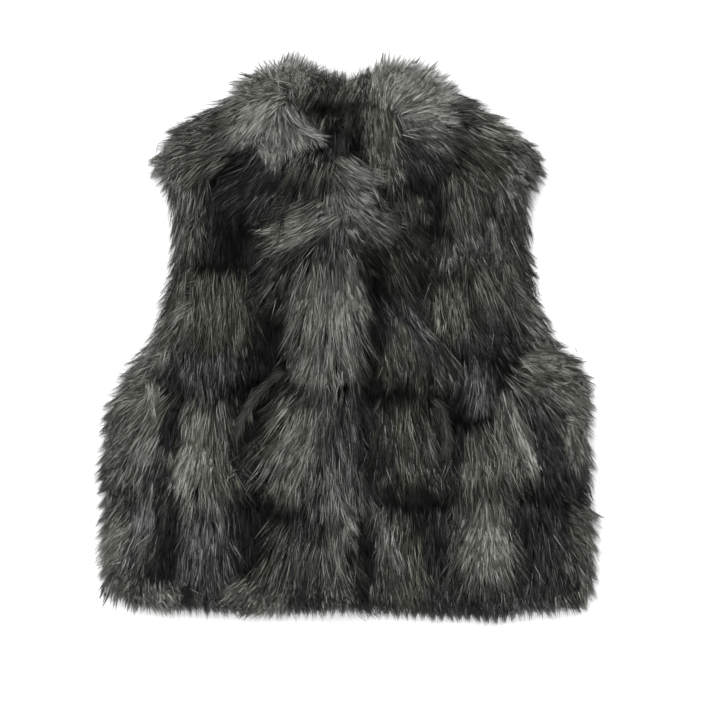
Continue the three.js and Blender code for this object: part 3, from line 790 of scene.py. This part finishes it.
def comb(x, y, angle, length, lift, locks, random):
    """Paths of many hairs. angle is from straight down the sheet towards its right."""
    out, close = outward(x, y)
    fall = np.stack([np.sin(angle), -np.cos(angle)], 1)
    fall = unit(fall + out * (OUTWARD_SWING * close)[:, None])
    bend = BENDS[0] * locks.chance(BEND, x, y) + BENDS[1] * strands.chance(BEND, x, y)
    bend += random.normal(0, BENDS[2], len(x))
    across = sideways(fall)
    in_lock = locks.from_middle(x, y) * across
    in_strand = strands.from_middle(x, y) * across
    path = np.zeros((len(x), LAST + 1, 3))
    path[:, 0, 0] = x
    path[:, 0, 1] = y
    for k in range(1, LAST + 1):
        step = (HAIR_STAGES[k] - HAIR_STAGES[k - 1]) * length
        turn = bend * (HAIR_STAGES[k] - BEND_START)
        direction = fall * np.cos(turn)[:, None] + across * np.sin(turn)[:, None]
        path[:, k, :2] = path[:, k - 1, :2] + direction * step[:, None]
        draw = (LOCK_DRAW[k] - LOCK_DRAW[k - 1]) * in_lock.sum(1)
        draw += (STRAND_DRAW[k] - STRAND_DRAW[k - 1]) * in_strand.sum(1)
        path[:, k, :2] -= across * draw[:, None]
    trim(path, random)
    rise = (-ROOT_SINK, HAIR_RISE[0] * lift, HAIR_RISE[1] * lift)
    for k in range(LAST + 1):
        height = sample(reach_height, path[:, k, 0], path[:, k, 1])
        path[:, k, 2] = np.maximum(height + rise[k], LOWEST_HAIR)
    return path


# %% [markdown]
# One block of the chart becomes a thousand hairs or so. Roots spread over the block, the sides fan
# out, and the hairs near its end are cut short of the next seam, so that they end in a ragged row.
# Shades are read at each stage of a hair, so that a painted hollow keeps its shape.
#
# A lift is how high a hair stands over the fur's reach: one number for all hairs, then the spreads
# of locks and strands.

# %% Fill one block
HAIR_LENGTH = 0.043
OUTLINE_LENGTH = 0.036
SHORTEST_HAIR = 0.016
LENGTH_SPREADS = (0.16, 0.07)
TURNS = (math.radians(10), math.radians(5), math.radians(3))
LIFTS = (0.0015, 0.0028, 0.0036)
LAST_ROOT = 0.9
HEAD_WIDTH = 0.86
BLOCK_OVERHANG = 0.010
OVERHANG_SPREAD = 0.002
ROUNDED_END = 0.012
HEAD_BAND = (0.08, 0.4)
END_BAND = (0.6, 1.0)
SIDE_BAND = (0.55, 1.1)
# Painted shade: each block darker towards its sides, where the strips meet in a valley.
PAINTED_SIDE_SHADE = 0.15
CONTRAST = 1.12
DARKENING = 0.025
TONE_SPREADS = (0.07, 0.35, 0.12)
HUE_SPREADS = (0.18, 0.12)


def as_block(row):
    return dict(zip(BLOCK_COLUMNS, row))


def in_block(block, x, y):
    """Place inside a block: -1 to 1 from side to side, and 0 to 1 from its head to its end."""
    lean = math.radians(block["lean"])
    middle_x, middle_y = on_sheet(block["across"], block["down"])
    dx, dy = x - middle_x, y - middle_y
    side = (dx * math.cos(lean) + dy * math.sin(lean)) / (block["wide"] * MM / 2)
    head = (dx * math.sin(lean) - dy * math.cos(lean)) / (block["long"] * MM) + 0.5
    return side, head


def block_roots(block, count, random):
    """Roots spread over a block, a little closer together at its head."""
    lean = math.radians(block["lean"])
    middle_x, middle_y = on_sheet(block["across"], block["down"])
    head = random.uniform(0, LAST_ROOT, count)
    narrowing = HEAD_WIDTH + (1 - HEAD_WIDTH) * head
    local_x = random.uniform(-1, 1, count) * block["wide"] * MM / 2 * narrowing
    local_y = (head - 0.5) * block["long"] * MM
    x = middle_x + local_x * math.cos(lean) + local_y * math.sin(lean)
    y = middle_y + local_x * math.sin(lean) - local_y * math.cos(lean)
    return x, y


def block_hairs(block, x, y, locks, random, longest=HAIR_LENGTH):
    """Paths, shades and hues of a block's hairs, from their roots."""
    count = len(x)
    side, head = in_block(block, x, y)
    side = np.clip(side, -1.15, 1.15)
    spread = np.sign(side) * np.abs(side) ** 1.2 * math.radians(block["fan"])
    angle = math.radians(block["lean"]) + spread * (0.75 + 0.35 * np.clip(head, 0, 1))
    angle += TURNS[0] * locks.chance(TURN, x, y) + TURNS[1] * strands.chance(TURN, x, y)
    angle += random.normal(0, TURNS[2], count)
    length = 1 + LENGTH_SPREADS[0] * locks.chance(LENGTH, x, y)
    length = longest * (length + random.normal(0, LENGTH_SPREADS[1], count))
    overhang = BLOCK_OVERHANG * (0.6 + locks.chance(REACH, x, y))
    overhang += random.normal(0, OVERHANG_SPREAD, count)
    to_end = (1 - head) * block["long"] * MM + overhang - ROUNDED_END * side ** 2
    length = np.minimum(length, np.maximum(to_end, SHORTEST_HAIR) / np.cos(spread))
    lift = LIFTS[0] + LIFTS[1] * locks.chance(LIFT, x, y) + LIFTS[2] * strands.chance(LIFT, x, y)
    path = comb(x, y, angle, length, lift, locks, random)
    side, head = in_block(block, path[:, :, 0], path[:, :, 1])
    tone = block["head"] + (block["body"] - block["head"]) * smooth(head, *HEAD_BAND)
    tone += (block["ends"] - block["body"]) * smooth(head, *END_BAND)
    # Painted shade darkens each block towards its sides, and the hollows chart adds painted shade
    # and painted light.
    tone -= PAINTED_SIDE_SHADE * smooth(np.abs(side), *SIDE_BAND)
    tone += touch(path[:, :, 0], path[:, :, 1])
    tone = 0.5 + CONTRAST * (tone - 0.5) - DARKENING
    own = TONE_SPREADS[0] * locks.chance(TONE, x, y) + TONE_SPREADS[1] * strands.chance(TONE, x, y)
    own += random.normal(0, TONE_SPREADS[2], count)
    olive = block["olive"] + HUE_SPREADS[0] * locks.chance(HUE, x, y)
    return path, tone + own[:, None], olive + random.normal(0, HUE_SPREADS[1], count)


def inside_vest(x, y):
    return sample(near_cover, x, y) > 0.5


def fill_chart(rows, count, locks, random):
    """All blocks of one part of the chart, with hairs shared out by their size."""
    sizes = np.array([row[2] * row[3] for row in rows], float)
    shares = (count * sizes / sizes.sum()).astype(int)
    parts = []
    for row, share in zip(rows, shares):
        block = as_block(row)
        x, y = block_roots(block, share, random)
        keep = inside_vest(x, y)
        parts.append(block_hairs(block, x[keep], y[keep], locks, random))
    return parts


# %% [markdown]
# The blocks stop short of the vest's outline. Along it grows one more row of hair, in a band just
# inside, which takes the shade and the fall of the nearest block.

# %% Fill the outline
BAND_NEAR = 0.8
BAND_WIDE = 0.9
ALL_BLOCKS = BLOCKS_RIGHT_TOP + BLOCKS_RIGHT_LOW + BLOCKS_LEFT_TOP + BLOCKS_LEFT_LOW
ALL_BLOCKS += BLOCKS_COLLAR


def nearest_block(x, y):
    """Number of the block that each place belongs to."""
    gaps = []
    for row in ALL_BLOCKS:
        block = as_block(row)
        side, head = in_block(block, x, y)
        beside = np.maximum(np.abs(side) - 1, 0) * block["wide"] / 2
        beyond = np.maximum(np.abs(head - 0.5) - 0.5, 0) * block["long"]
        gaps.append(beside + beyond)
    return np.argmin(gaps, axis=0)


def outline_band(count, random):
    """Places in the band just inside the outline."""
    band = np.argwhere((near_cover > BAND_NEAR) & (wide_cover < BAND_WIDE))
    chosen = band[random.integers(0, len(band), count)]
    x = GRID_X[chosen[:, 1]] + random.uniform(-0.5, 0.5, count) * GRID_STEP
    y = GRID_Y[chosen[:, 0]] + random.uniform(-0.5, 0.5, count) * GRID_STEP
    return x, y


def fill_outline(rows, x, y, locks, random):
    nearest = nearest_block(x, y)
    parts = []
    for number, row in enumerate(ALL_BLOCKS):
        own = nearest == number
        if row in rows and own.any():
            parts.append(block_hairs(as_block(row), x[own], y[own], locks, random, OUTLINE_LENGTH))
    return parts


# %% [markdown]
# Between the blocks the eye looks down into shorter, darker fur, whose near-black tone is the
# undercoat's own dark colour with the valleys' shade painted in. It lies everywhere under the
# chart's hair, a little lower, and shows only in the valleys.

# %% Undercoat hairs
UNDERCOAT_LENGTH = 0.030
UNDERCOAT_LIFT = -0.003
UNDERCOAT_TURNS = (math.radians(14), math.radians(9))
# Near-black tone: the undercoat's own dark colour with painted shade of the valleys.
UNDERCOAT_TONE_WITH_PAINTED_SHADE = 0.14
UNDERCOAT_OLIVE = 0.35


def same_along(tone):
    """A shade that stays the same from root to tip."""
    return np.repeat(tone[:, None], LAST + 1, axis=1)


def undercoat_hairs(low, high, count, locks, random):
    """Short dark hairs spread evenly over a stretch of the sheet, in across and down."""
    x0, y1 = on_sheet(low[0], low[1])
    x1, y0 = on_sheet(high[0], high[1])
    x = random.uniform(float(x0), float(x1), count)
    y = random.uniform(float(y0), float(y1), count)
    keep = inside_vest(x, y)
    x, y = x[keep], y[keep]
    n = len(x)
    angle = UNDERCOAT_TURNS[0] * locks.chance(TURN, x, y)
    angle += random.normal(0, UNDERCOAT_TURNS[1], n)
    length = UNDERCOAT_LENGTH * (1 + random.normal(0, 0.12, n))
    lift = UNDERCOAT_LIFT + random.normal(0, 0.0012, n)
    path = comb(x, y, angle, length, lift, locks, random)
    tone = UNDERCOAT_TONE_WITH_PAINTED_SHADE + 0.06 * locks.chance(TONE, x, y) + random.normal(0, 0.06, n)
    return path, same_along(tone), UNDERCOAT_OLIVE + random.normal(0, 0.2, n)


# %% [markdown]
# Some locks lie over the rest and catch the eye, such as the curved one beside the neck opening.
# Each row lays one: where it starts, its lean there and how far it turns on its way, its
# length and width, the share of its width at the end, its lift, its shades at the start and at
# the end, and its hue. The hairs lie one behind another along it, so it can be longer than they,
# and where the fur below falls away the lock bridges the gap and droops towards its end.

# %% Lay single locks
LAID_COLUMNS = (
    "across", "down", "lean", "turn", "long", "wide", "narrow", "lift", "start", "end", "olive",
)
LAID_LOCKS = {
    "fur_collar": [
        (290, 106, 178, -12, 60, 34, 0.9, 2, 0.54, 0.98, 0.55),
        (284, 102, -152, 8, 50, 30, 1.1, 2, 0.58, 0.84, 0.6),
        (280, 98, -106, 8, 56, 24, 1.3, 3, 0.58, 0.8, 0.7),
        (298, 97, -86, 16, 66, 15, 1.5, 4, 0.54, 0.8, 0.65),
        (294, 98, -64, 14, 64, 14, 1.5, 6, 0.56, 0.96, 0.5),
        (280, 94, -40, -6, 64, 20, 1.3, 7, 0.58, 1.1, 0.5),
        (279, 92, -4, 2, 58, 20, 1.2, 4, 0.58, 0.88, 0.45),
        (283, 102, 16, 72, 70, 12, 0.35, 10, 0.66, 1.14, 0.45),
        (261, 134, 24, -6, 40, 20, 0.25, 4, 0.6, 0.9, 0.45),
        (273, 138, 3, 0, 48, 18, 0.15, 4, 0.6, 0.92, 0.45),
        (286, 134, -16, 0, 38, 18, 0.25, 4, 0.58, 0.84, 0.5),
        (384, 126, 172, -6, 80, 26, 1.5, 3, 0.6, 1.0, 0.6),
        (386, 124, 146, -6, 86, 24, 1.5, 4, 0.6, 1.06, 0.55),
        (386, 122, 124, -6, 86, 24, 1.4, 4, 0.6, 1.06, 0.55),
        (390, 120, 102, -6, 70, 22, 1.3, 4, 0.56, 1.0, 0.55),
        (398, 118, 78, -8, 56, 20, 1.3, 3, 0.5, 0.82, 0.45),
        (380, 98, 4, -4, 62, 28, 1.2, 4, 0.52, 0.62, 0.8),
        (394, 102, 30, 6, 56, 20, 1.3, 4, 0.44, 0.54, 0.3),
        (338, 158, 52, 22, 56, 22, 0.8, 5, 0.64, 0.96, 0.45),
        (366, 172, 25, 10, 46, 7, 0.3, 4, 0.6, 0.92, 0.5),
    ],
    "fur_right_upper": [
        (335, 190, 62, -20, 56, 24, 1.1, 2, 0.56, 0.76, 0.4),
        (330, 205, -48, -10, 84, 18, 1.0, 3, 0.56, 0.76, 0.7),
        (345, 250, 10, 10, 40, 16, 0.5, 3, 0.58, 0.78, 0.5),
        (314, 262, -12, -16, 66, 18, 1.2, 3, 0.44, 0.76, 0.65),
        (346, 264, 14, 14, 70, 20, 0.9, 3, 0.54, 0.82, 0.6),
        (328, 250, 0, 0, 62, 24, 1.4, 3, 0.44, 0.72, 0.45),
        (352, 206, -52, -12, 94, 14, 1.1, 4, 0.58, 0.68, 0.55),
    ],
    "fur_right_lower": [
        (153, 370, 0, 0, 54, 20, 0.15, 3, 0.62, 0.76, 0.7),
        (266, 382, -52, 62, 56, 8, 0.4, 4, 0.4, 0.8, 0.85),
        (168, 508, -12, 10, 42, 7, 0.3, 3, 0.5, 0.72, 0.9),
        (162, 570, 0, 26, 46, 26, 1.4, 4, 0.56, 0.82, 0.55),
        (264, 574, -40, -6, 54, 26, 1.5, 4, 0.52, 0.78, 0.65),
        (205, 398, -4, -6, 90, 20, 1.7, 3, 0.58, 0.84, 0.75),
        (196, 432, -16, -6, 76, 16, 1.4, 4, 0.64, 0.94, 0.68),
        (338, 486, 12, 22, 58, 20, 0.6, 3, 0.58, 0.8, 0.5),
        (348, 528, 20, 5, 34, 10, 0.3, 3, 0.5, 0.72, 0.5),
        # Rows in this list with shades below 0.35 are painted shade: dark strokes in the valleys,
        # beside the pocket's mouth and along the lap of the fronts.
        (173, 394, -4, -6, 66, 13, 0.8, 4, 0.18, 0.26, 0.12),
        (163, 456, -8, -6, 44, 28, 1.2, 3, 0.26, 0.32, 0.08),
        (146, 496, -6, 0, 44, 24, 1.1, 3, 0.64, 0.6, 0.1),
        (200, 512, 0, -2, 56, 22, 1.2, 3, 0.62, 0.52, 0.1),
        (160, 520, 2, 0, 62, 24, 1.0, 3, 0.16, 0.22, 0.12),
        (174, 490, -6, 0, 70, 12, 1.0, 4, 0.16, 0.22, 0.12),
        (248, 496, -2, 6, 80, 26, 1.0, 3, 0.12, 0.2, 0.1),
        (365, 524, 0, 0, 84, 13, 1.0, 4, 0.05, 0.1, 0.15),
        (187, 576, 2, 4, 36, 9, 1.0, 5, 0.08, 0.06, 0.2),
        (130, 556, -30, 14, 62, 18, 1.4, 2, 0.5, 0.66, 0.65),
        (148, 566, -16, 6, 54, 20, 1.4, 2, 0.52, 0.64, 0.6),
        (245, 412, 2, 6, 96, 20, 1.0, 3, 0.18, 0.24, 0.12),
    ],
    "fur_left_upper": [
        (420, 188, -20, 60, 24, 6, 0.5, 3, 0.46, 0.7, 0.9),
        (398, 312, 10, 14, 60, 10, 0.6, 3, 0.5, 0.66, 0.9),
        (504, 194, 34, -26, 66, 16, 1.2, 3, 0.44, 0.56, 0.6),
        (514, 246, 40, 8, 34, 12, 1.0, 2, 0.42, 0.5, 0.6),
    ],
    "fur_left_lower": [
        (508, 372, 78, -26, 88, 26, 1.5, 3, 0.5, 0.62, 0.7),
        (512, 366, 104, -34, 74, 20, 1.3, 3, 0.56, 0.68, 0.65),
        (552, 374, 72, -14, 50, 18, 1.5, 2, 0.52, 0.66, 0.65),
        (554, 388, 56, -14, 50, 18, 1.5, 2, 0.52, 0.66, 0.65),
        (558, 404, 24, -12, 82, 20, 1.2, 3, 0.52, 0.7, 0.65),
        (502, 382, 17, 6, 112, 14, 0.9, 5, 0.58, 0.88, 0.62),
        (484, 490, -10, -10, 90, 18, 1.6, 3, 0.62, 0.72, 0.65),
        (488, 490, 8, 14, 90, 20, 1.5, 3, 0.68, 0.8, 0.6),
        (472, 424, 0, 6, 72, 20, 1.5, 3, 0.5, 0.72, 0.6),
        (486, 496, 0, 2, 94, 18, 1.5, 3, 0.68, 0.78, 0.62),
        # The three rows below are painted shade: dark strokes in the valleys.
        (534, 398, 18, 8, 92, 18, 1.2, 3, 0.24, 0.32, 0.06),
        (456, 412, 2, 4, 60, 13, 0.9, 4, 0.14, 0.2, 0.2),
        (524, 492, 4, 4, 40, 22, 1.4, 3, 0.22, 0.28, 0.06),
        (572, 500, 50, 10, 42, 12, 0.3, 3, 0.48, 0.7, 0.7),
    ],
}
LAID_DENSITY = 0.36
LAID_HAIR = 0.034
LAID_DROP = 0.012
LAID_DROOP = 0.020
LAID_RISE = (0.0, 0.0022, 0.0022)
LAID_LIFT = (-1.2, 0.8, 1.0)
LAID_STEPS = 25
HAIRS_PER_STRAND = 6


def laid_hairs(row, random):
    """Paths, shades and hues of one lock that lies over the rest, strand by strand."""
    lock = dict(zip(LAID_COLUMNS, row))
    long, wide = lock["long"] * MM, lock["wide"] * MM
    count = int(LAID_DENSITY * lock["wide"] * lock["long"])
    strand_count = max(count // HAIRS_PER_STRAND, 3)
    strand = random.integers(0, strand_count, count)
    place = random.uniform(-1, 1, strand_count)[strand]
    own_turn = np.radians(random.normal(0, 6, strand_count))[strand]
    own_tone = random.uniform(-0.24, 0.22, strand_count)[strand] + random.normal(0, 0.10, count)
    own_length = random.uniform(0.75, 1.15, strand_count)[strand]
    latest = max(long - 0.7 * LAID_HAIR, 0.35 * long)
    start = random.uniform(0, latest, strand_count)[strand] + random.normal(0, 0.0012, count)
    start += 0.2 * wide * place ** 2
    limit = long * (1.04 - 0.2 * place ** 2 - 0.3 * random.uniform(0, 1, strand_count)[strand] ** 2)
    length = np.clip(LAID_HAIR * own_length, 0.2 * long, np.maximum(limit - start, 0.008))
    aside = random.normal(0, 0.0007, count)
    steps = np.linspace(0, 1, LAID_STEPS)
    heading = np.radians(lock["lean"] + lock["turn"] * steps)
    along_x = np.concatenate([[0], np.cumsum(np.sin(heading[1:]))]) * long / (LAID_STEPS - 1)
    along_y = np.concatenate([[0], np.cumsum(-np.cos(heading[1:]))]) * long / (LAID_STEPS - 1)
    start_x, start_y = on_sheet(lock["across"], lock["down"])
    bridge = float(sample(reach_height, start_x, start_y)) - LAID_DROP
    path = np.zeros((count, LAST + 1, 3))
    tone = np.zeros((count, LAST + 1))
    for k, stage in enumerate(HAIR_STAGES):
        share = (start + length * stage) / long
        angle = np.interp(share, steps, heading)
        half = wide / 2 * (1 + (lock["narrow"] - 1) * smooth(share, 0, 1))
        off = place * half + aside * (1 - stage ** 2) + own_turn * length * stage
        x = start_x + np.interp(share, steps, along_x) + off * np.cos(angle)
        y = start_y + np.interp(share, steps, along_y) + off * np.sin(angle)
        rise = lock["lift"] * MM * (1 - 0.6 * place ** 2) * LAID_LIFT[k] + LAID_RISE[k]
        bridged = (bridge - LAID_DROOP * share ** 2) * sample(near_cover, x, y)
        height = np.maximum(sample(reach_height, x, y), bridged) + rise
        path[:, k] = np.stack([x, y, np.maximum(height, LOWEST_HAIR)], 1)
        tone[:, k] = lock["start"] + (lock["end"] - lock["start"]) * np.clip(share, 0, 1)
        # Half the painted shade and painted light of the hollows chart.
        tone[:, k] += 0.5 * touch(x, y)
    # Each strand's own random tone, with painted shade darkening the lock towards its sides.
    tone += (own_tone - 0.10 * np.abs(place))[:, None]
    return path, tone, lock["olive"] + random.normal(0, 0.15, count)


# %% [markdown]
# Each piece of fur joins its blocks, its outline, its undercoat and its laid locks. A piece stays
# under 200,000 triangles, so each front is split at the waist seam.

# %% Grow the fronts
HAIR_WIDTH = 0.00064
POCKET_HAIR_WIDTH = 0.9 * HAIR_WIDTH


def grow(name, parts, nodes, random, width=HAIR_WIDTH):
    """One piece of fur from the paths, shades and hues of its parts."""
    path, tone, olive = [np.concatenate(column) for column in zip(*parts)]
    thick = width * random.uniform(0.7, 1.15, len(path))
    hairs = build_hairs(name, path, thick, tone, olive, random)
    hairs.data.materials.append(acrylic_hair)
    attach(hairs, "root")
    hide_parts(*nodes)
    print(name, len(path), "hairs,", len(hairs.data.polygons), "triangles")


FRONT_PIECES = [
    ("fur_right_upper", BLOCKS_RIGHT_TOP, (140, 90), (385, 392), "front_right", 22000),
    ("fur_right_lower", BLOCKS_RIGHT_LOW, (90, 360), (372, 620), "front_right", 19300),
    ("fur_left_upper", BLOCKS_LEFT_TOP, (355, 90), (560, 400), "front_left", 22500),
    ("fur_left_lower", BLOCKS_LEFT_LOW, (355, 370), (606, 620), "front_left", 20000),
]
UNDERCOAT_SHARE = 0.12
OUTLINE_HAIRS = 14000
random = np.random.default_rng(10)
outline_x, outline_y = outline_band(OUTLINE_HAIRS, random)
for seed, (name, rows, low, high, node, count) in enumerate(FRONT_PIECES, start=11):
    random = np.random.default_rng(seed)
    locks = Locks(seed + 100)
    parts = fill_chart(rows, count, locks, random)
    parts += fill_outline(rows, outline_x, outline_y, locks, random)
    parts.append(undercoat_hairs(low, high, int(count * UNDERCOAT_SHARE), locks, random))
    parts += [laid_hairs(row, random) for row in LAID_LOCKS[name]]
    grow(name, parts, [node], random)

# %% [markdown]
# The collar is full and rolls outwards. Its hair springs from the roll and falls away from it on
# all sides: down over the fronts, outwards over the shoulders and up past the back of the neck.
# Inside the neck it is short, and painted shade darkens it where it goes down into the opening.

# %% Grow the collar
COLLAR_HAIRS = 22500
random = np.random.default_rng(31)
locks = Locks(131)
collar_parts = fill_chart(BLOCKS_COLLAR, COLLAR_HAIRS, locks, random)
collar_parts += fill_outline(BLOCKS_COLLAR, outline_x, outline_y, locks, random)
collar_parts += [laid_hairs(row, random) for row in LAID_LOCKS["fur_collar"]]
grow("fur_collar", collar_parts, ["collar"], random)

# %% [markdown]
# All round the vest the pile of the back comes out from under the fronts and spreads on the floor.
# It grows in the same band inside the outline, lower than the fronts' hair.

# %% Grow the edge of the back
EDGE_HAIRS = 7000
EDGE_LENGTH = 0.026
EDGE_TURN = math.radians(16)
EDGE_PULL = np.array([[0.0, -0.6]])
EDGE_TONE = 0.39
EDGE_OLIVE = 0.55


def edge_hairs(count, random, locks):
    x, y = outline_band(count, random)
    out, _ = outward(x, y)
    direction = unit(out + EDGE_PULL)
    turn = EDGE_TURN * locks.chance(TURN, x, y) + random.normal(0, 0.12, count)
    direction = direction * np.cos(turn)[:, None] + sideways(direction) * np.sin(turn)[:, None]
    length = EDGE_LENGTH * (1 + 0.2 * locks.chance(LENGTH, x, y) + random.normal(0, 0.1, count))
    path = np.zeros((count, LAST + 1, 3))
    for k, stage in enumerate(HAIR_STAGES):
        path[:, k, :2] = np.stack([x, y], 1) + direction * (length * stage)[:, None]
    trim(path, random)
    start = sample(reach_height, x, y) * random.uniform(0.1, 0.75, count)
    end = np.maximum(start * random.uniform(0.15, 0.8, count), 0.002)
    for k, stage in enumerate(HAIR_STAGES):
        path[:, k, 2] = start + (end - start) * stage ** 1.5
    tone = EDGE_TONE + 0.12 * locks.chance(TONE, x, y) + random.normal(0, 0.1, count)
    return path, same_along(tone), EDGE_OLIVE + random.normal(0, 0.2, count)


random = np.random.default_rng(41)
locks = Locks(141)
grow("fur_back", [edge_hairs(EDGE_HAIRS, random, locks)], ["back"], random)

# %% [markdown]
# The pocket edges are slim rolls of the same fur with shorter hair, combed along the mouth.

# %% Grow the pocket edges
POCKET_LINES = {
    "pocket_edge_right": [(290, 366), (277, 376), (264, 388), (252, 401), (244, 415), (240, 432)],
    "pocket_edge_left": [(428, 394), (437, 403), (443, 416), (446, 431), (447, 447)],
}
POCKET_HAIRS = 420
POCKET_LENGTH = 0.021
POCKET_HALF_WIDTH = 0.003
POCKET_ROUNDING = 0.0035
POCKET_RISE = (-0.006, 0.0, 0.0005)
POCKET_TONES = (0.34, 0.50)
POCKET_OLIVE = 0.6


def pocket_hairs(node, line, random):
    x, y = on_sheet([p[0] for p in line], [p[1] for p in line])
    place = random.uniform(0, len(line) - 1.4, POCKET_HAIRS)
    at = np.arange(len(line))
    root_x = np.interp(place, at, x)
    root_y = np.interp(place, at, y)
    ahead_x = np.interp(place + 0.3, at, x) - root_x
    ahead_y = np.interp(place + 0.3, at, y) - root_y
    angle = np.arctan2(ahead_x, -ahead_y) + random.normal(0, 0.16, POCKET_HAIRS)
    side = random.uniform(-POCKET_HALF_WIDTH, POCKET_HALF_WIDTH, POCKET_HAIRS)
    root_x += side * np.cos(angle)
    root_y += side * np.sin(angle)
    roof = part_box(node)[1].z - POCKET_ROUNDING * (side / POCKET_HALF_WIDTH) ** 2
    length = POCKET_LENGTH * (1 + random.normal(0, 0.1, POCKET_HAIRS))
    path = np.zeros((POCKET_HAIRS, LAST + 1, 3))
    for k, stage in enumerate(HAIR_STAGES):
        path[:, k, 0] = root_x + np.sin(angle) * length * stage
        path[:, k, 1] = root_y - np.cos(angle) * length * stage
        path[:, k, 2] = roof + POCKET_RISE[k]
    tone = np.interp(place / (len(line) - 1), (0, 1), POCKET_TONES)
    tone += random.normal(0, 0.1, POCKET_HAIRS)
    return path, same_along(tone), POCKET_OLIVE + random.normal(0, 0.15, POCKET_HAIRS)


for seed, (node, line) in enumerate(POCKET_LINES.items(), start=51):
    random = np.random.default_rng(seed)
    fur = [pocket_hairs(node, line, random)]
    grow("fur_" + node, fur, [node], random, POCKET_HAIR_WIDTH)

# %% [markdown]
# The cut of each cloth is stated with its flat size, as a maker would lay it out before sewing.
# The fronts and the back are odd shapes, so their flat area is given beside the box that they fit.

for shell, node, rests_on in (
    (cloth_back, "back", ["floor"]),
    (cloth_front_right, "front_right", ["cloth_back", "cloth_front_left"]),
    (cloth_front_left, "front_left", ["cloth_back"]),
    (cloth_collar, "collar", ["cloth_front_right", "cloth_front_left"]),
):
    low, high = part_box(node)
